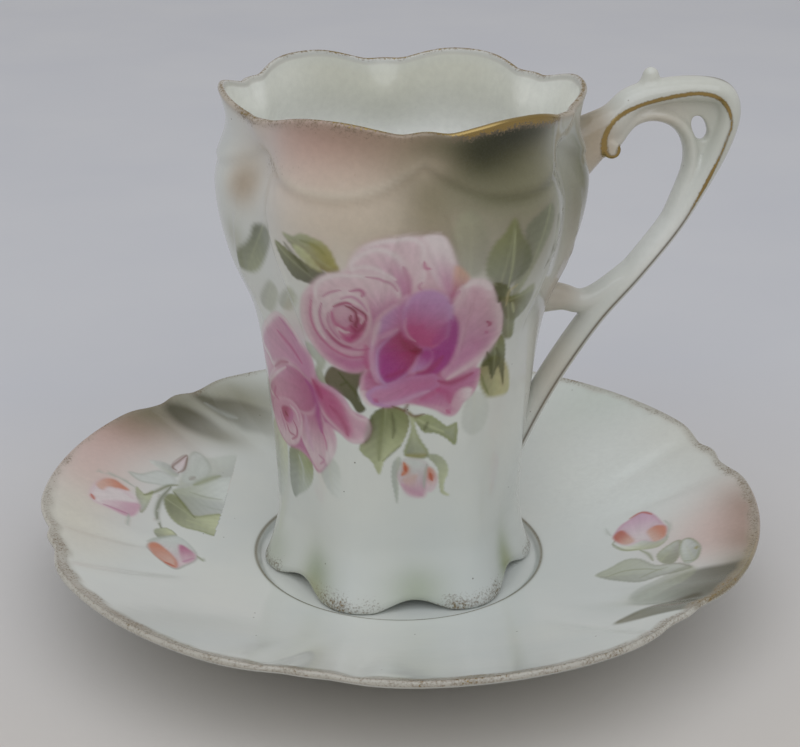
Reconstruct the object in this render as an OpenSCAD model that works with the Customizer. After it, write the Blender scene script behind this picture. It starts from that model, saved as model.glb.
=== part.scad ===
// Porcelain chocolate cup with a lobed rim and foot, its pierced handle and its lobed saucer.
// Millimetres. The saucer stands on z = 0 with its axis on Z, and the handle points along +X.

/* [Saucer] */
// Radius to the large lobes of the rim
saucer_r = 63.5; // [60:0.1:70]
// Height of the rim above the well
saucer_rise = 12.2; // [9:0.1:15]
// Height of the well above the table
well_h = 6; // [5:0.1:8]
// Gap between the cup's foot and the step round the flat well
well_gap = 1.2; // [0.6:0.1:3]
// Height of the step round the well
well_step = 0.5; // [0.3:0.1:1]
// Width of the step round the well
well_bevel = 0.9; // [0.5:0.1:1.5]
// Thickness under the well
well_floor = 3.2; // [2.6:0.1:4]
// Thickness of the rim's edge
saucer_lip = 1.3; // [1:0.1:2.4]
// Outer radius of the foot ring
ring_r = 32; // [29:0.1:36]
// Width of the foot ring
ring_w = 2.4; // [1.8:0.1:4]
// Depth of the notches in the rim
saucer_notch = 2.4; // [1:0.1:3.5]
// How far the small lobe stands out between two notches
saucer_bead = 1.15; // [0.5:0.05:2]
// Half the angle of a small lobe
saucer_bead_half = 4.6; // [3.5:0.1:7]
// Height of the pleats that run in from the small lobes
pleat_h = 0.5; // [0:0.1:1]
// Angle from the handle to a small lobe of the saucer
saucer_turn = 10; // [0:1:59]

/* [Cup body] */
// Height of the large lobes of the rim above the foot
cup_h = 85.4; // [80:0.1:92]
// Radius to the large lobes of the rim
rim_r = 30; // [28.5:0.1:32]
// Radius of the neck under the rim
neck_r = 28.8; // [27.5:0.1:30.5]
// Depth of the neck below the rim
neck_drop = 6.4; // [5:0.1:8]
// Radius of the bulge
bulge_r = 31; // [29.5:0.1:33]
// Depth of the bulge below the rim
bulge_drop = 15.4; // [13:0.1:17]
// Radius where the bulge turns in
shoulder_r = 29.1; // [28:0.1:30]
// Depth of that place below the rim
shoulder_drop = 26.9; // [24:0.1:29]
// Radius of the knee under the bulge
knee_r = 24.9; // [23.5:0.1:26.5]
// Height of the knee above the foot
knee_h = 47.5; // [44:0.1:50]
// Radius of the stem half way up
stem_r = 22.7; // [21.5:0.1:24]
// Height of the middle of the stem
stem_h = 30; // [26:0.1:34]
// Radius of the waist above the foot
waist_r = 21.5; // [20.5:0.1:22.5]
// Height of the waist
waist_h = 11; // [9:0.1:14]
// Radius where the foot flares out
flare_r = 22.5; // [21.8:0.1:23.4]
// Height of that flare
flare_h = 5.2; // [4:0.1:7]
// Radius to the lobes of the foot
foot_r = 24.5; // [23.5:0.1:25]
// Thickness of the wall
wall = 2.2; // [1.6:0.1:3]
// Thickness of the lip
lip = 1.1; // [0.8:0.1:2]
// Thickness of the floor
floor_t = 3.2; // [2.4:0.1:4.5]
// Depth of the hollow under the floor
foot_hollow = 2.3; // [2:0.1:3.5]
// Width of the edge that the cup stands on
foot_w = 2.4; // [1.8:0.1:3]
// Radius of the round between the floor and the wall inside
floor_round = 3; // [1.5:0.1:5]

/* [Flutes of the cup] */
// Depth of the flutes at the foot
foot_flute = 3.1; // [2:0.1:4]
// Depth of the flutes at the waist
waist_flute = 1.9; // [1:0.1:2.5]
// Depth of the flutes on the stem
stem_flute = 0.9; // [0.3:0.1:1.6]
// Depth of the flutes on the bulge
bulge_flute = 2.7; // [1.5:0.1:3.5]
// Depth of the flutes at the rim
rim_flute = 2; // [1:0.1:3]
// How far the rim dips at a small lobe
rim_dip = 2.3; // [1:0.1:3]
// How far the small lobe of the rim stands out
rim_bead = 0.9; // [0.3:0.1:1.5]
// How far the small lobe of the rim stands up
rim_bead_rise = 0.4; // [0:0.1:1]
// Half the angle of a small lobe of the rim
rim_bead_half = 8; // [6:0.5:12]
// Height of the arches between the lobes of the foot
foot_arch = 1.8; // [1:0.1:2.6]

/* [Handle] */
// How far the handle reaches out past the rim
handle_reach = 27; // [22:0.1:32]
// Height of the top of the strap above the rim
handle_over = 0.2; // [-3:0.1:4]
// Height of the strap's tail on the wall
tail_h = 20; // [17:0.1:24]
// Thickness of the outer strap
strap_t = 4.2; // [3.4:0.1:5]
// Width of the outer strap
strap_w = 6.4; // [5:0.1:8]
// Width of the outer strap at its tail
tail_w = 5.4; // [4:0.1:7]
// Height of the root where the strap leaves the wall
root_t = 10.5; // [8:0.1:12]
// Depth of the root below the rim
root_drop = 11.2; // [10:0.1:13]
// Thickness of the band round the finger loop
band_t = 2.5; // [2:0.1:3]
// Width of the band round the finger loop
band_w = 4.6; // [3.6:0.1:6]
// Height of the branch where it meets the wall
branch_h = 48; // [45:0.1:50]
// Thickness of the branch
branch_t = 4.2; // [3.2:0.1:5]
// Thickness of the web between strap and band
web_t = 2.6; // [1.6:0.1:3.4]
// Half the width of the pierced hole
hole_r = 1.45; // [1:0.05:1.7]
// Height of the thumb rest above the strap
thumb_h = 1.8; // [1:0.1:3]
// Radius of the thumb rest at its base
thumb_r = 1.7; // [1.2:0.1:2.2]
// Radius of its tip
thumb_tip_r = 1.1; // [0.6:0.1:1.6]
// Radius of the scroll under the root
scroll_r = 1.5; // [1.2:0.1:2.2]
// How far the scroll stands out on each side
scroll_out = 0.3; // [0.1:0.1:0.6]

/* [Hidden] */
$fn = 32;
// Large lobes round the cup and round the saucer
lobes = 6;
sector = 360 / lobes;
// Steps round each sector, closer together at the small lobes
sector_steps = 20;
squeeze = 0.5;
// Rings up the outside and down the inside of the cup
outer_rings = 24;
inner_rings = 13;
// Rings across the saucer's dish, above and below
dish_rings = 8;
under_rings = 6;
// Sharpness of the flutes on the stem, on the bulge and at the rim, and of the saucer's notches
stem_sharp = 1;
bulge_sharp = 3;
rim_sharp = 1.3;
notch_sharp = 6;
// Shape of the arches under the foot: the share that stays flat under the lobes, and their sharpness
arch_flat = 0.3;
arch_sharp = 1.2;
// How steeply the saucer's upper and lower faces curve up
dish_power = 1.4;
under_power = 1.1;
// Flat margin of the underside outside the foot ring, and how far the ring goes into the floor
ring_margin = ring_w;
ring_sink = well_floor / 3;
well_r = foot_r + well_gap;
saucer_top = well_h + saucer_rise;
under_z = well_h - well_floor;
floor_z = foot_hollow + floor_t;
neck_z = cup_h - neck_drop;
bulge_z = cup_h - bulge_drop;
shoulder_z = cup_h - shoulder_drop;

// Radius of the cup at its lobes, against height
crest_line = [
    [0, foot_r],
    [flare_h, flare_r],
    [waist_h, waist_r],
    [stem_h, stem_r],
    [knee_h, knee_r],
    [shoulder_z, shoulder_r],
    [bulge_z, bulge_r],
    [neck_z, neck_r],
    [cup_h, rim_r]
];
// Depth of the flutes, against height
flute_line = [
    [0, foot_flute],
    [waist_h, waist_flute],
    [stem_h, stem_flute],
    [knee_h, stem_flute],
    [bulge_z, bulge_flute],
    [cup_h, rim_flute]
];
// Sharpness of the flutes, against height: broad on the stem, narrow on the bulge
sharp_line = [[0, stem_sharp], [knee_h, stem_sharp], [bulge_z, bulge_sharp], [cup_h, rim_sharp]];

// Smooth curve through rows of [position, value]
function row(p, z, i = 0) = i >= len(p) - 2 || z < p[i + 1][0] ? i : row(p, z, i + 1);
function slope(p, i) =
    let (a = p[max(i - 1, 0)], b = p[min(i + 1, len(p) - 1)]) (b[1] - a[1]) / (b[0] - a[0]);
function curve(p, z) =
    let (i = row(p, z), h = p[i + 1][0] - p[i][0], t = (z - p[i][0]) / h)
    p[i][1] * (1 + 2 * t) * pow(1 - t, 2) + slope(p, i) * h * t * pow(1 - t, 2)
    + p[i + 1][1] * t * t * (3 - 2 * t) - slope(p, i + 1) * h * t * t * (1 - t);

// Smooth curve through path points, s counting along them
function spot(p, s) =
    let (
        i = min(floor(s), len(p) - 2),
        t = s - i,
        a = p[max(i - 1, 0)],
        b = p[i],
        c = p[i + 1],
        d = p[min(i + 2, len(p) - 1)]
    )
    (2 * b + (c - a) * t + (2 * a - 5 * b + 4 * c - d) * t * t + (3 * b - a - 3 * c + d) * pow(t, 3)) / 2;
function path(p, steps) = [for (i = [0 : (len(p) - 1) * steps]) spot(p, i / steps)];

function ease(t) = let (u = min(max(t, 0), 1)) u * u * (3 - 2 * u);
function mix(a, b, t) = a + (b - a) * t;

// Angles from the nearest small lobe, round the whole part
angles = [
    for (k = [0 : lobes - 1], i = [0 : sector_steps - 1])
        let (u = i / sector_steps) sector * (k + u - squeeze * sin(360 * u) / (2 * PI))
];
function fold(a) = a - sector * round(a / sector);
function flute(a, sharp) = pow((1 + cos(lobes * a)) / 2, sharp);
function bead(a, half) = abs(fold(a)) < half ? pow(cos(90 * fold(a) / half), 2) : 0;
// Arches under the foot, flat for a stretch under each lobe
function arch(a) = pow(max((cos(lobes * a) + arch_flat) / (1 + arch_flat), 0), arch_sharp);

// Outside radius of the cup at angle a from a small lobe
function cup_r(a, z) =
    curve(crest_line, z) - curve(flute_line, z) * flute(a, curve(sharp_line, z))
    + rim_bead * bead(a, rim_bead_half) * ease((z - neck_z) / neck_drop);
// Height with the scalloped rim and the arched foot
function cup_z(a, z) =
    z + (rim_bead_rise * bead(a, rim_bead_half) - rim_dip * flute(a, rim_sharp))
        * ease((z - shoulder_z) / shoulder_drop)
    + foot_arch * arch(a) * (1 - ease(z / waist_h));
// A ring round the cup, drawn in by a distance
function cup_ring(z, inset = 0, lift = 0) = [
    for (a = angles)
        let (r = cup_r(a, z) - inset, b = a + sector / 2)
        [r * cos(b), r * sin(b), well_h + cup_z(a, z) + lift]
];
// A level ring inside the cup
function level_ring(z, inset, level) = [
    for (a = angles)
        let (r = cup_r(a, z) - inset, b = a + sector / 2)
        [r * cos(b), r * sin(b), well_h + level]
];
cup_outside = [for (i = [0 : outer_rings]) cup_ring(cup_h * i / outer_rings)];

// A closed skin over a row of rings, with a fan over each end
module loft(rings) {
    n = len(rings[0]);
    m = len(rings);
    ends = [for (r = [rings[0], rings[m - 1]]) [for (k = [0 : 2]) [for (p = r) p[k]] * [for (p = r) 1]] / n];
    faces = concat(
        [for (j = [0 : n - 1]) [0, 2 + j, 2 + (j + 1) % n]],
        [
            for (i = [0 : m - 2], j = [0 : n - 1])
                let (a = 2 + i * n + j, b = 2 + i * n + (j + 1) % n)
                each [[a, a + n, b + n], [a, b + n, b]]
        ],
        [for (j = [0 : n - 1]) [1, 2 + (m - 1) * n + (j + 1) % n, 2 + (m - 1) * n + j]]
    );
    polyhedron(concat(ends, [for (r = rings) each r]), faces);
}

// A bar along path rows of [x, z, thickness, width]
module sweep(p, sides) {
    last = len(p) - 1;
    loft([
        for (i = [0 : last])
            let (
                step = p[min(i + 1, last)] - p[max(i - 1, 0)],
                run = norm([step[0], step[1]])
            )
            [
                for (j = [0 : sides - 1])
                    let (out = p[i][2] / 2 * cos(360 * j / sides), side = p[i][3] / 2 * sin(360 * j / sides))
                    [p[i][0] + out * step[1] / run, side, p[i][1] - out * step[0] / run]
            ]
    ]);
}

// Height of the saucer's upper and lower faces at radius r
dish_r = well_r + well_bevel;
function dish_z(r) =
    well_h + well_step + (saucer_rise - well_step) * pow((r - dish_r) / (saucer_r - dish_r), dish_power);
flat_r = ring_r + ring_margin;
function under_dish_z(r) =
    under_z + (saucer_top - saucer_lip - under_z) * pow((r - flat_r) / (saucer_r - flat_r), under_power);
// A ring round the saucer: the lobes and pleats grow from radius r_from out to the rim
function dish_ring(r, z, r_from) = [
    for (a = angles)
        let (
            grow = ease((r - r_from) / (saucer_r - r_from)),
            edge = saucer_bead * bead(a, saucer_bead_half) - saucer_notch * flute(a, notch_sharp),
            out = r + edge * pow(grow, 2),
            up = z + pleat_h * grow * (bead(a, saucer_bead_half) - flute(a, notch_sharp)),
            b = a + saucer_turn
        )
        [out * cos(b), out * sin(b), up]
];

module saucer() {
    lip_round = saucer_lip / 2;
    color("whitesmoke") union() {
        loft(concat(
            [dish_ring(ring_r - ring_w - ring_margin, under_z, flat_r), dish_ring(flat_r, under_z, flat_r)],
            [
                for (i = [1 : under_rings])
                    let (r = mix(flat_r, saucer_r - lip_round / 2, i / under_rings))
                    dish_ring(r, under_dish_z(r), flat_r)
            ],
            [dish_ring(saucer_r, saucer_top - lip_round, dish_r)],
            [
                for (i = [dish_rings : -1 : 0])
                    let (r = mix(dish_r, saucer_r - lip_round / 2, i / dish_rings))
                    dish_ring(r, dish_z(r), dish_r)
            ],
            [dish_ring(well_r, well_h, dish_r)]
        ));
        rotate_extrude()
            translate([ring_r - ring_w, 0])
            square([ring_w, under_z + ring_sink]);
    }
}

module cup_body() {
    inner_top = cup_h - lip / 2;
    inner_low = floor_z + floor_round;
    color("white") loft(concat(
        [level_ring(0, foot_w + foot_hollow / 2, foot_hollow), cup_ring(0, foot_w)],
        cup_outside,
        [cup_ring(cup_h, lip / 2, lip / 4)],
        [
            for (i = [0 : inner_rings])
                let (z = mix(inner_top, inner_low, i / inner_rings))
                cup_ring(z, mix(lip, wall, ease(i / 3)))
        ],
        [
            level_ring(inner_low, wall + floor_round * (1 - cos(45)), floor_z + floor_round * (1 - sin(45))),
            level_ring(inner_low, wall + floor_round, floor_z)
        ]
    ));
}

// Frame of the handle: u runs from the tail out to the strap's far corner, v from the tail up to its top
tail_x = curve(crest_line, tail_h);
far_x = rim_r + handle_reach - strap_t / 2;
top_z = cup_h + handle_over - strap_t / 2;
root_z = cup_h - root_drop;
function at(u, v, t, w) = [mix(tail_x, far_x, u), well_h + mix(tail_h, top_z, v), t, w];
// How far the seats are carried into the wall before the wall is cut away
seat = 2 * wall;
function on_wall(z, t, w) = [curve(crest_line, z) - seat, well_h + z, t, w];

strap_line = [
    on_wall(root_z - seat / 2, root_t, strap_w),
    at(0.385, 0.912, root_t * 0.6, strap_w),
    at(0.5, 0.973, strap_t * 1.1, strap_w),
    at(0.67, 0.997, strap_t, strap_w),
    at(0.84, 1, strap_t, strap_w),
    at(0.962, 0.985, strap_t, strap_w),
    at(1, 0.932, strap_t, strap_w),
    at(0.955, 0.845, strap_t, strap_w),
    at(0.85, 0.735, strap_t, mix(strap_w, tail_w, 0.2)),
    at(0.73, 0.628, strap_t, mix(strap_w, tail_w, 0.5)),
    at(0.55, 0.504, strap_t, mix(strap_w, tail_w, 0.8)),
    at(0.36, 0.387, strap_t, tail_w),
    at(0.19, 0.255, strap_t, tail_w),
    at(0.06, 0.135, strap_t, tail_w),
    [tail_x - seat / 2, well_h + tail_h, strap_t, tail_w]
];
band_line = [
    at(0.42, 0.868, band_t, band_w),
    at(0.495, 0.92, band_t, band_w),
    at(0.605, 0.937, band_t, band_w),
    at(0.725, 0.918, band_t, band_w),
    at(0.8, 0.87, band_t, band_w),
    at(0.82, 0.8, band_t, band_w),
    at(0.775, 0.717, band_t, band_w),
    at(0.7, 0.622, band_t, band_w),
    at(0.6, 0.542, mix(band_t, branch_t, 0.4), band_w),
    at(0.48, 0.48, mix(band_t, branch_t, 0.8), band_w),
    at(0.36, 0.433, branch_t, band_w),
    at(0.27, 0.421, branch_t, band_w),
    at(0.17, 0.435, branch_t * 1.15, band_w),
    on_wall(branch_h, branch_t * 1.5, band_w)
];
path_steps = 3;

// A round rod across the handle at path row p
module rod(p, r, w) {
    translate([p[0], w / 2, p[1]])
        rotate([90, 0, 0])
        cylinder(r = r, h = w, $fn = 20);
}

module handle() {
    strap = path(strap_line, path_steps);
    band = path(band_line, path_steps);
    web_from = 2 * path_steps;
    web_n = 6 * path_steps;
    hole = at(0.838, 0.914, 0, 0);
    hole_low = at(0.868, 0.88, 0, 0);
    thumb = at(0.585, 1, 0, 0);
    scroll = at(0.385, 0.852, 0, 0);
    color("ivory") difference() {
        union() {
            sweep(strap, 16);
            sweep(band, 12);
            for (i = [0 : 2 : web_n - 2])
                hull() {
                    rod(strap[web_from + i], web_t / 2, web_t);
                    rod(strap[web_from + i + 2], web_t / 2, web_t);
                    rod(band[i], web_t / 4, web_t);
                    rod(band[i + 2], web_t / 4, web_t);
                }
            hull() {
                translate([thumb[0], 0, thumb[1]])
                    sphere(r = thumb_r, $fn = 16);
                translate([thumb[0], 0, well_h + cup_h + handle_over + thumb_h - thumb_tip_r])
                    sphere(r = thumb_tip_r, $fn = 16);
            }
            rod(scroll, scroll_r, strap_w + 2 * scroll_out);
        }
        loft(cup_outside);
        hull() {
            rod(hole, hole_r, strap_w * 2);
            rod(hole_low, hole_r * 0.7, strap_w * 2);
        }
    }
}

saucer();
cup_body();
handle();
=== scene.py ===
"""A lobed porcelain chocolate cup with a pierced scroll handle, loose in the well of its saucer.

Shapes are in millimetres, as in the CAD model, and MM turns them to metres. The printed roses and buds are drawn in
tenths of a millimetre.
"""

import math

import bpy
import numpy as np
from mathutils import Matrix, Vector


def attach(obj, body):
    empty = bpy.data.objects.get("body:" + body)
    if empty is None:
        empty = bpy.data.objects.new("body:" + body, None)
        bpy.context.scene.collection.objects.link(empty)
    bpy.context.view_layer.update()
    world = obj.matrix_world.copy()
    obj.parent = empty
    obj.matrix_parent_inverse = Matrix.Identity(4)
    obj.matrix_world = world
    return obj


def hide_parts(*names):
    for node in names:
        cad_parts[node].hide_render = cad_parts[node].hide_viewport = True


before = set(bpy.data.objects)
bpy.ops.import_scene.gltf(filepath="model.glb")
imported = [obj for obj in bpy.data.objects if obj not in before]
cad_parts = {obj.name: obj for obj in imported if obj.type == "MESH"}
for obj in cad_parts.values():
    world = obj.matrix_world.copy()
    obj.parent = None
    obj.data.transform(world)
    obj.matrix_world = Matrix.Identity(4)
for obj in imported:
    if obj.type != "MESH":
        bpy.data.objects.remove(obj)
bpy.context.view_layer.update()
bpy.ops.object.select_all(action="DESELECT")

MM = 0.001
ALL = slice(None)

# Both pieces have six lobes round the axis. The cup stands on the saucer's well, and its foot reaches down into it.
WELL_H = 6
FOOT_DROP = 0.75
SECTOR = 60
CUP_TURN = 30
SAUCER_TURN = 10

# Cup: [height above the well, radius at the lobes], [height, depth of the flutes], [height, their sharpness]
CUP_H = 85.4
CREST = [[0, 24.5], [5.2, 22.5], [11, 21.5], [30, 22.7], [47.5, 24.9], [58.5, 29.1], [70, 31], [79, 28.8], [85.4, 30]]
FLUTE = [[0, 3.1], [11, 1.9], [30, 0.9], [47.5, 0.9], [70, 2.7], [85.4, 2]]
SHARP = [[0, 1], [47.5, 1], [70, 3], [79, 3.2], [85.4, 2]]
WALL = 2.2
LIP = 1.1
LIP_R = 30
CUP_FLOOR = 5.5
FLOOR_ROUND = 3
CUP_STEPS = 200
# The foot's height, and the radius inside which it isn't gilded
FOOT_H = 4
FOOT_IN = 22.5
# Lappets hang under the large lobes: height of their tips, how far their edge rises to the sides, how far they stand
# out. Between them are the ridges of arched strips.
LAPPET_Z = 73.9
LAPPET_RISE = 4.9
LAPPET = 0.6
RIDGE = 0.34
# The roses are drawn flat, round this angle and at this radius. What isn't painted is put off the drawing.
ROSE_SIDE = -97.2
SHEET_R = 24
OFF_SHEET = 500

# Saucer
SAUCER_R = 63.48
SAUCER_TOP = 18.2
SAUCER_LIP = 1.25
DISH_R = 26.6
DISH_Z = 6.5
UNDER_Z = 2.8
FLAT_R = 34.4
RING_R = 25.8
SAUCER_STEPS = 360
# Its small lobes: half their angle, how far they stand out from the notches, and the pleats that run in beside them
LOBE_HALF = 4.6
LOBE_OUT = 1.15
NOTCH = 2.4
NOTCH_SHARP = 6
PLEAT = 0.45

# Prints are cut into a finer mesh, with this margin round them
PRINT_CUTS = 2
PRINT_MARGIN = 0.8


def ease(t):
    t = np.clip(t, 0, 1)
    return t * t * (3 - 2 * t)


def bell(x, wide):
    return np.exp(-((x / wide) ** 2))


def near(b, place, wide, top=1.5):
    """How near an angle is to a place round the axis, from 1 down to 0."""
    return ease(top - np.abs((b - place + 180) % 360 - 180) / wide)


def along(table, at):
    """Smooth curve through rows of [position, value]."""
    x, y = np.array(table, float).T
    at = np.clip(np.asarray(at, float), x[0], x[-1])
    i = np.clip(np.searchsorted(x, at, side="right") - 1, 0, len(x) - 2)
    last = np.minimum(np.arange(len(x)) + 1, len(x) - 1)
    first = np.maximum(np.arange(len(x)) - 1, 0)
    slope = (y[last] - y[first]) / (x[last] - x[first])
    h = x[i + 1] - x[i]
    t = (at - x[i]) / h
    return (
        y[i] * (1 + 2 * t) * (1 - t) ** 2
        + slope[i] * h * t * (1 - t) ** 2
        + y[i + 1] * t * t * (3 - 2 * t)
        - slope[i + 1] * h * t * t * (1 - t)
    )


def fold(angle):
    """Angle from the nearest small lobe."""
    return angle - SECTOR * np.round(angle / SECTOR)


def flute(a, sharp):
    return ((1 + np.cos(np.radians(6 * a))) / 2) ** sharp


def bead(a, half):
    return np.where(np.abs(a) < half, np.cos(np.radians(90 * a / half)) ** 2, 0)


def arch(a):
    return np.maximum((np.cos(np.radians(6 * a)) + 0.3) / 1.3, 0) ** 1.2


def cup_flutes(a, z):
    """How far the wall is drawn in at angle a from a small lobe."""
    return -along(FLUTE, z) * flute(a, along(SHARP, z)) + 0.9 * bead(a, 8) * ease((z - 79) / 6.4)


def dish_z(r):
    return DISH_Z + (SAUCER_TOP - DISH_Z) * (np.maximum(r - DISH_R, 0) / (SAUCER_R - DISH_R)) ** 1.4


def under_dish_z(r):
    rise = SAUCER_TOP - SAUCER_LIP - UNDER_Z
    return UNDER_Z + rise * (np.maximum(r - FLAT_R, 0) / (SAUCER_R - FLAT_R)) ** 1.1


# ---------------------------------------------------------------- modelling


def take(*pieces):
    """Selects just these pieces, with the first in hand."""
    bpy.ops.object.select_all(action="DESELECT")
    for piece in pieces:
        piece.select_set(True)
    bpy.context.view_layer.objects.active = pieces[0]


def start_piece(name):
    """Takes the new primitive in hand, with its place in its mesh."""
    piece = bpy.context.object
    piece.name = piece.data.name = name
    take(piece)
    bpy.ops.object.transform_apply(location=True, rotation=True, scale=True)
    return piece


def edit(piece, faces=None):
    """Opens the piece for editing with all of it selected, or the faces of a mask."""
    take(piece)
    bpy.ops.object.mode_set(mode="EDIT")
    bpy.ops.mesh.select_mode(type="FACE" if faces is not None else "VERT")
    bpy.ops.mesh.select_all(action="SELECT" if faces is None else "DESELECT")
    if faces is not None:
        bpy.ops.object.mode_set(mode="OBJECT")
        piece.data.polygons.foreach_set("select", faces)
        bpy.ops.object.mode_set(mode="EDIT")


def close_piece():
    """Merges doubles, turns the faces outwards and leaves edit mode."""
    bpy.ops.mesh.select_mode(type="VERT")
    bpy.ops.mesh.select_all(action="SELECT")
    bpy.ops.mesh.remove_doubles(threshold=0.002 * MM)
    bpy.ops.mesh.normals_make_consistent(inside=False)
    bpy.ops.object.mode_set(mode="OBJECT")
    bpy.ops.object.shade_smooth()


def apply(piece, kind, **settings):
    """Adds a modifier and applies it."""
    take(piece)
    new = piece.modifiers.new(kind.title(), kind)
    for key, value in settings.items():
        setattr(new, key, value)
    bpy.ops.object.modifier_apply(modifier=new.name)


def coordinates(rows, key):
    co = np.empty(len(rows) * 3)
    rows.foreach_get(key, co)
    return co.reshape(-1, 3) / MM


def points(piece):
    """The piece's vertices in millimetres."""
    return coordinates(piece.data.vertices, "co")


def face_centres(piece):
    return coordinates(piece.data.polygons, "center")


def move_points(piece, co):
    piece.data.vertices.foreach_set("co", (np.asarray(co) * MM).ravel())
    piece.data.update()


def turned(name, profile, steps):
    """A turned blank: a profile of [radius, height] drawn point by point and spun round the axis."""
    bpy.ops.mesh.primitive_plane_add(size=MM, location=(profile[0][0] * MM, 0, profile[0][1] * MM))
    piece = start_piece(name)
    edit(piece)
    bpy.ops.mesh.merge(type="CENTER")
    for (r0, z0), (r1, z1) in zip(profile, profile[1:]):
        bpy.ops.mesh.extrude_vertices_move(TRANSFORM_OT_translate={"value": ((r1 - r0) * MM, 0, (z1 - z0) * MM)})
    bpy.ops.mesh.select_all(action="SELECT")
    bpy.ops.mesh.spin(steps=steps, angle=2 * math.pi, center=(0, 0, 0), axis=(0, 0, 1))
    close_piece()
    return piece


def closer_mesh(piece, mask):
    """Cuts the faces of a print finer, so that what is painted there is sharp."""
    edit(piece, mask)
    bpy.ops.mesh.subdivide(number_cuts=PRINT_CUTS, smoothness=0)
    close_piece()


def polar(co):
    return np.hypot(co[:, 0], co[:, 1]), np.degrees(np.arctan2(co[:, 1], co[:, 0]))


def linear(code):
    """sRGB hex to linear colour."""
    c = np.array([int(code[i : i + 2], 16) for i in (1, 3, 5)]) / 255
    c = np.where(c <= 0.04045, c / 12.92, ((c + 0.055) / 1.055) ** 2.4)
    return (*c.tolist(), 1)


# ---------------------------------------------------------------- fired colours, and painted light and shade

# Enamel colours of the prints and of the airbrushed tints, and the colours of painted light and shade
COLOURS = {
    "white_petal": "#d6cccd", "shell": "#cfb9bf", "blush_pink": "#c5a0ae", "pink": "#be8fa4", "rose_light": "#b880a0",
    "rose": "#b16b92", "rose_dark": "#a65a80", "deep_rose": "#ac4678", "magenta": "#9a3a80", "purple": "#963480",
    "crimson": "#96305a", "wine": "#7c1c38", "lavender": "#b187b0", "lavender_light": "#c39cb4", "peach": "#c8a08e",
    "orange": "#c07048", "rust": "#b0502e", "mist": "#c3c9c4", "grey_leaf": "#a4aba0", "leaf_grey": "#8e9478",
    "leaf_shade": "#71775f", "leaf_light": "#b2b890", "leaf": "#878f5e", "leaf_dark": "#6a703f", "moss": "#4c4e28",
    "leaf_brown": "#5f573c", "olive": "#908a48", "olive_light": "#a9a87a", "bud_yellow": "#aea67e",
    "stem_brown": "#6d5138", "peach_tint": "#ceb0a8", "rose_tint": "#c0978e", "brown_tint": "#8f725f",
    "sand_tint": "#c2b4a0", "umber_tint": "#8d8168", "sage_tint": "#7a775a", "sage_light": "#a3a48f",
    "sage_dark": "#5c5c40", "dark_olive": "#1e2200", "olive_shade": "#4d4a10", "olive_tint": "#6f674b",
    "foot_green": "#8f9c78", "cream_tint": "#d2cdbd", "mist_green": "#bcc8bd", "fold_green": "#3c3916",
    "fold_grey": "#6f6d55", "taupe_tint": "#a59683", "painted_light_lip_white": "#eef0e8", "lip_back": "#cdcdbe",
    "painted_light_deep_white": "#fbfcf9", "rim_dust": "#a8a193", "rim_edge": "#8b8676", "ring_khaki": "#6e6951",
    "painted_light_white": "#e4e9e5", "handle_shade": "#c2c2b6", "rim_olive": "#948765", "line_brown": "#4f4a3c",
}
LEAVES = ("grey_leaf", "leaf_grey", "leaf_shade", "leaf_light", "leaf", "leaf_dark", "moss", "olive")

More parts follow.
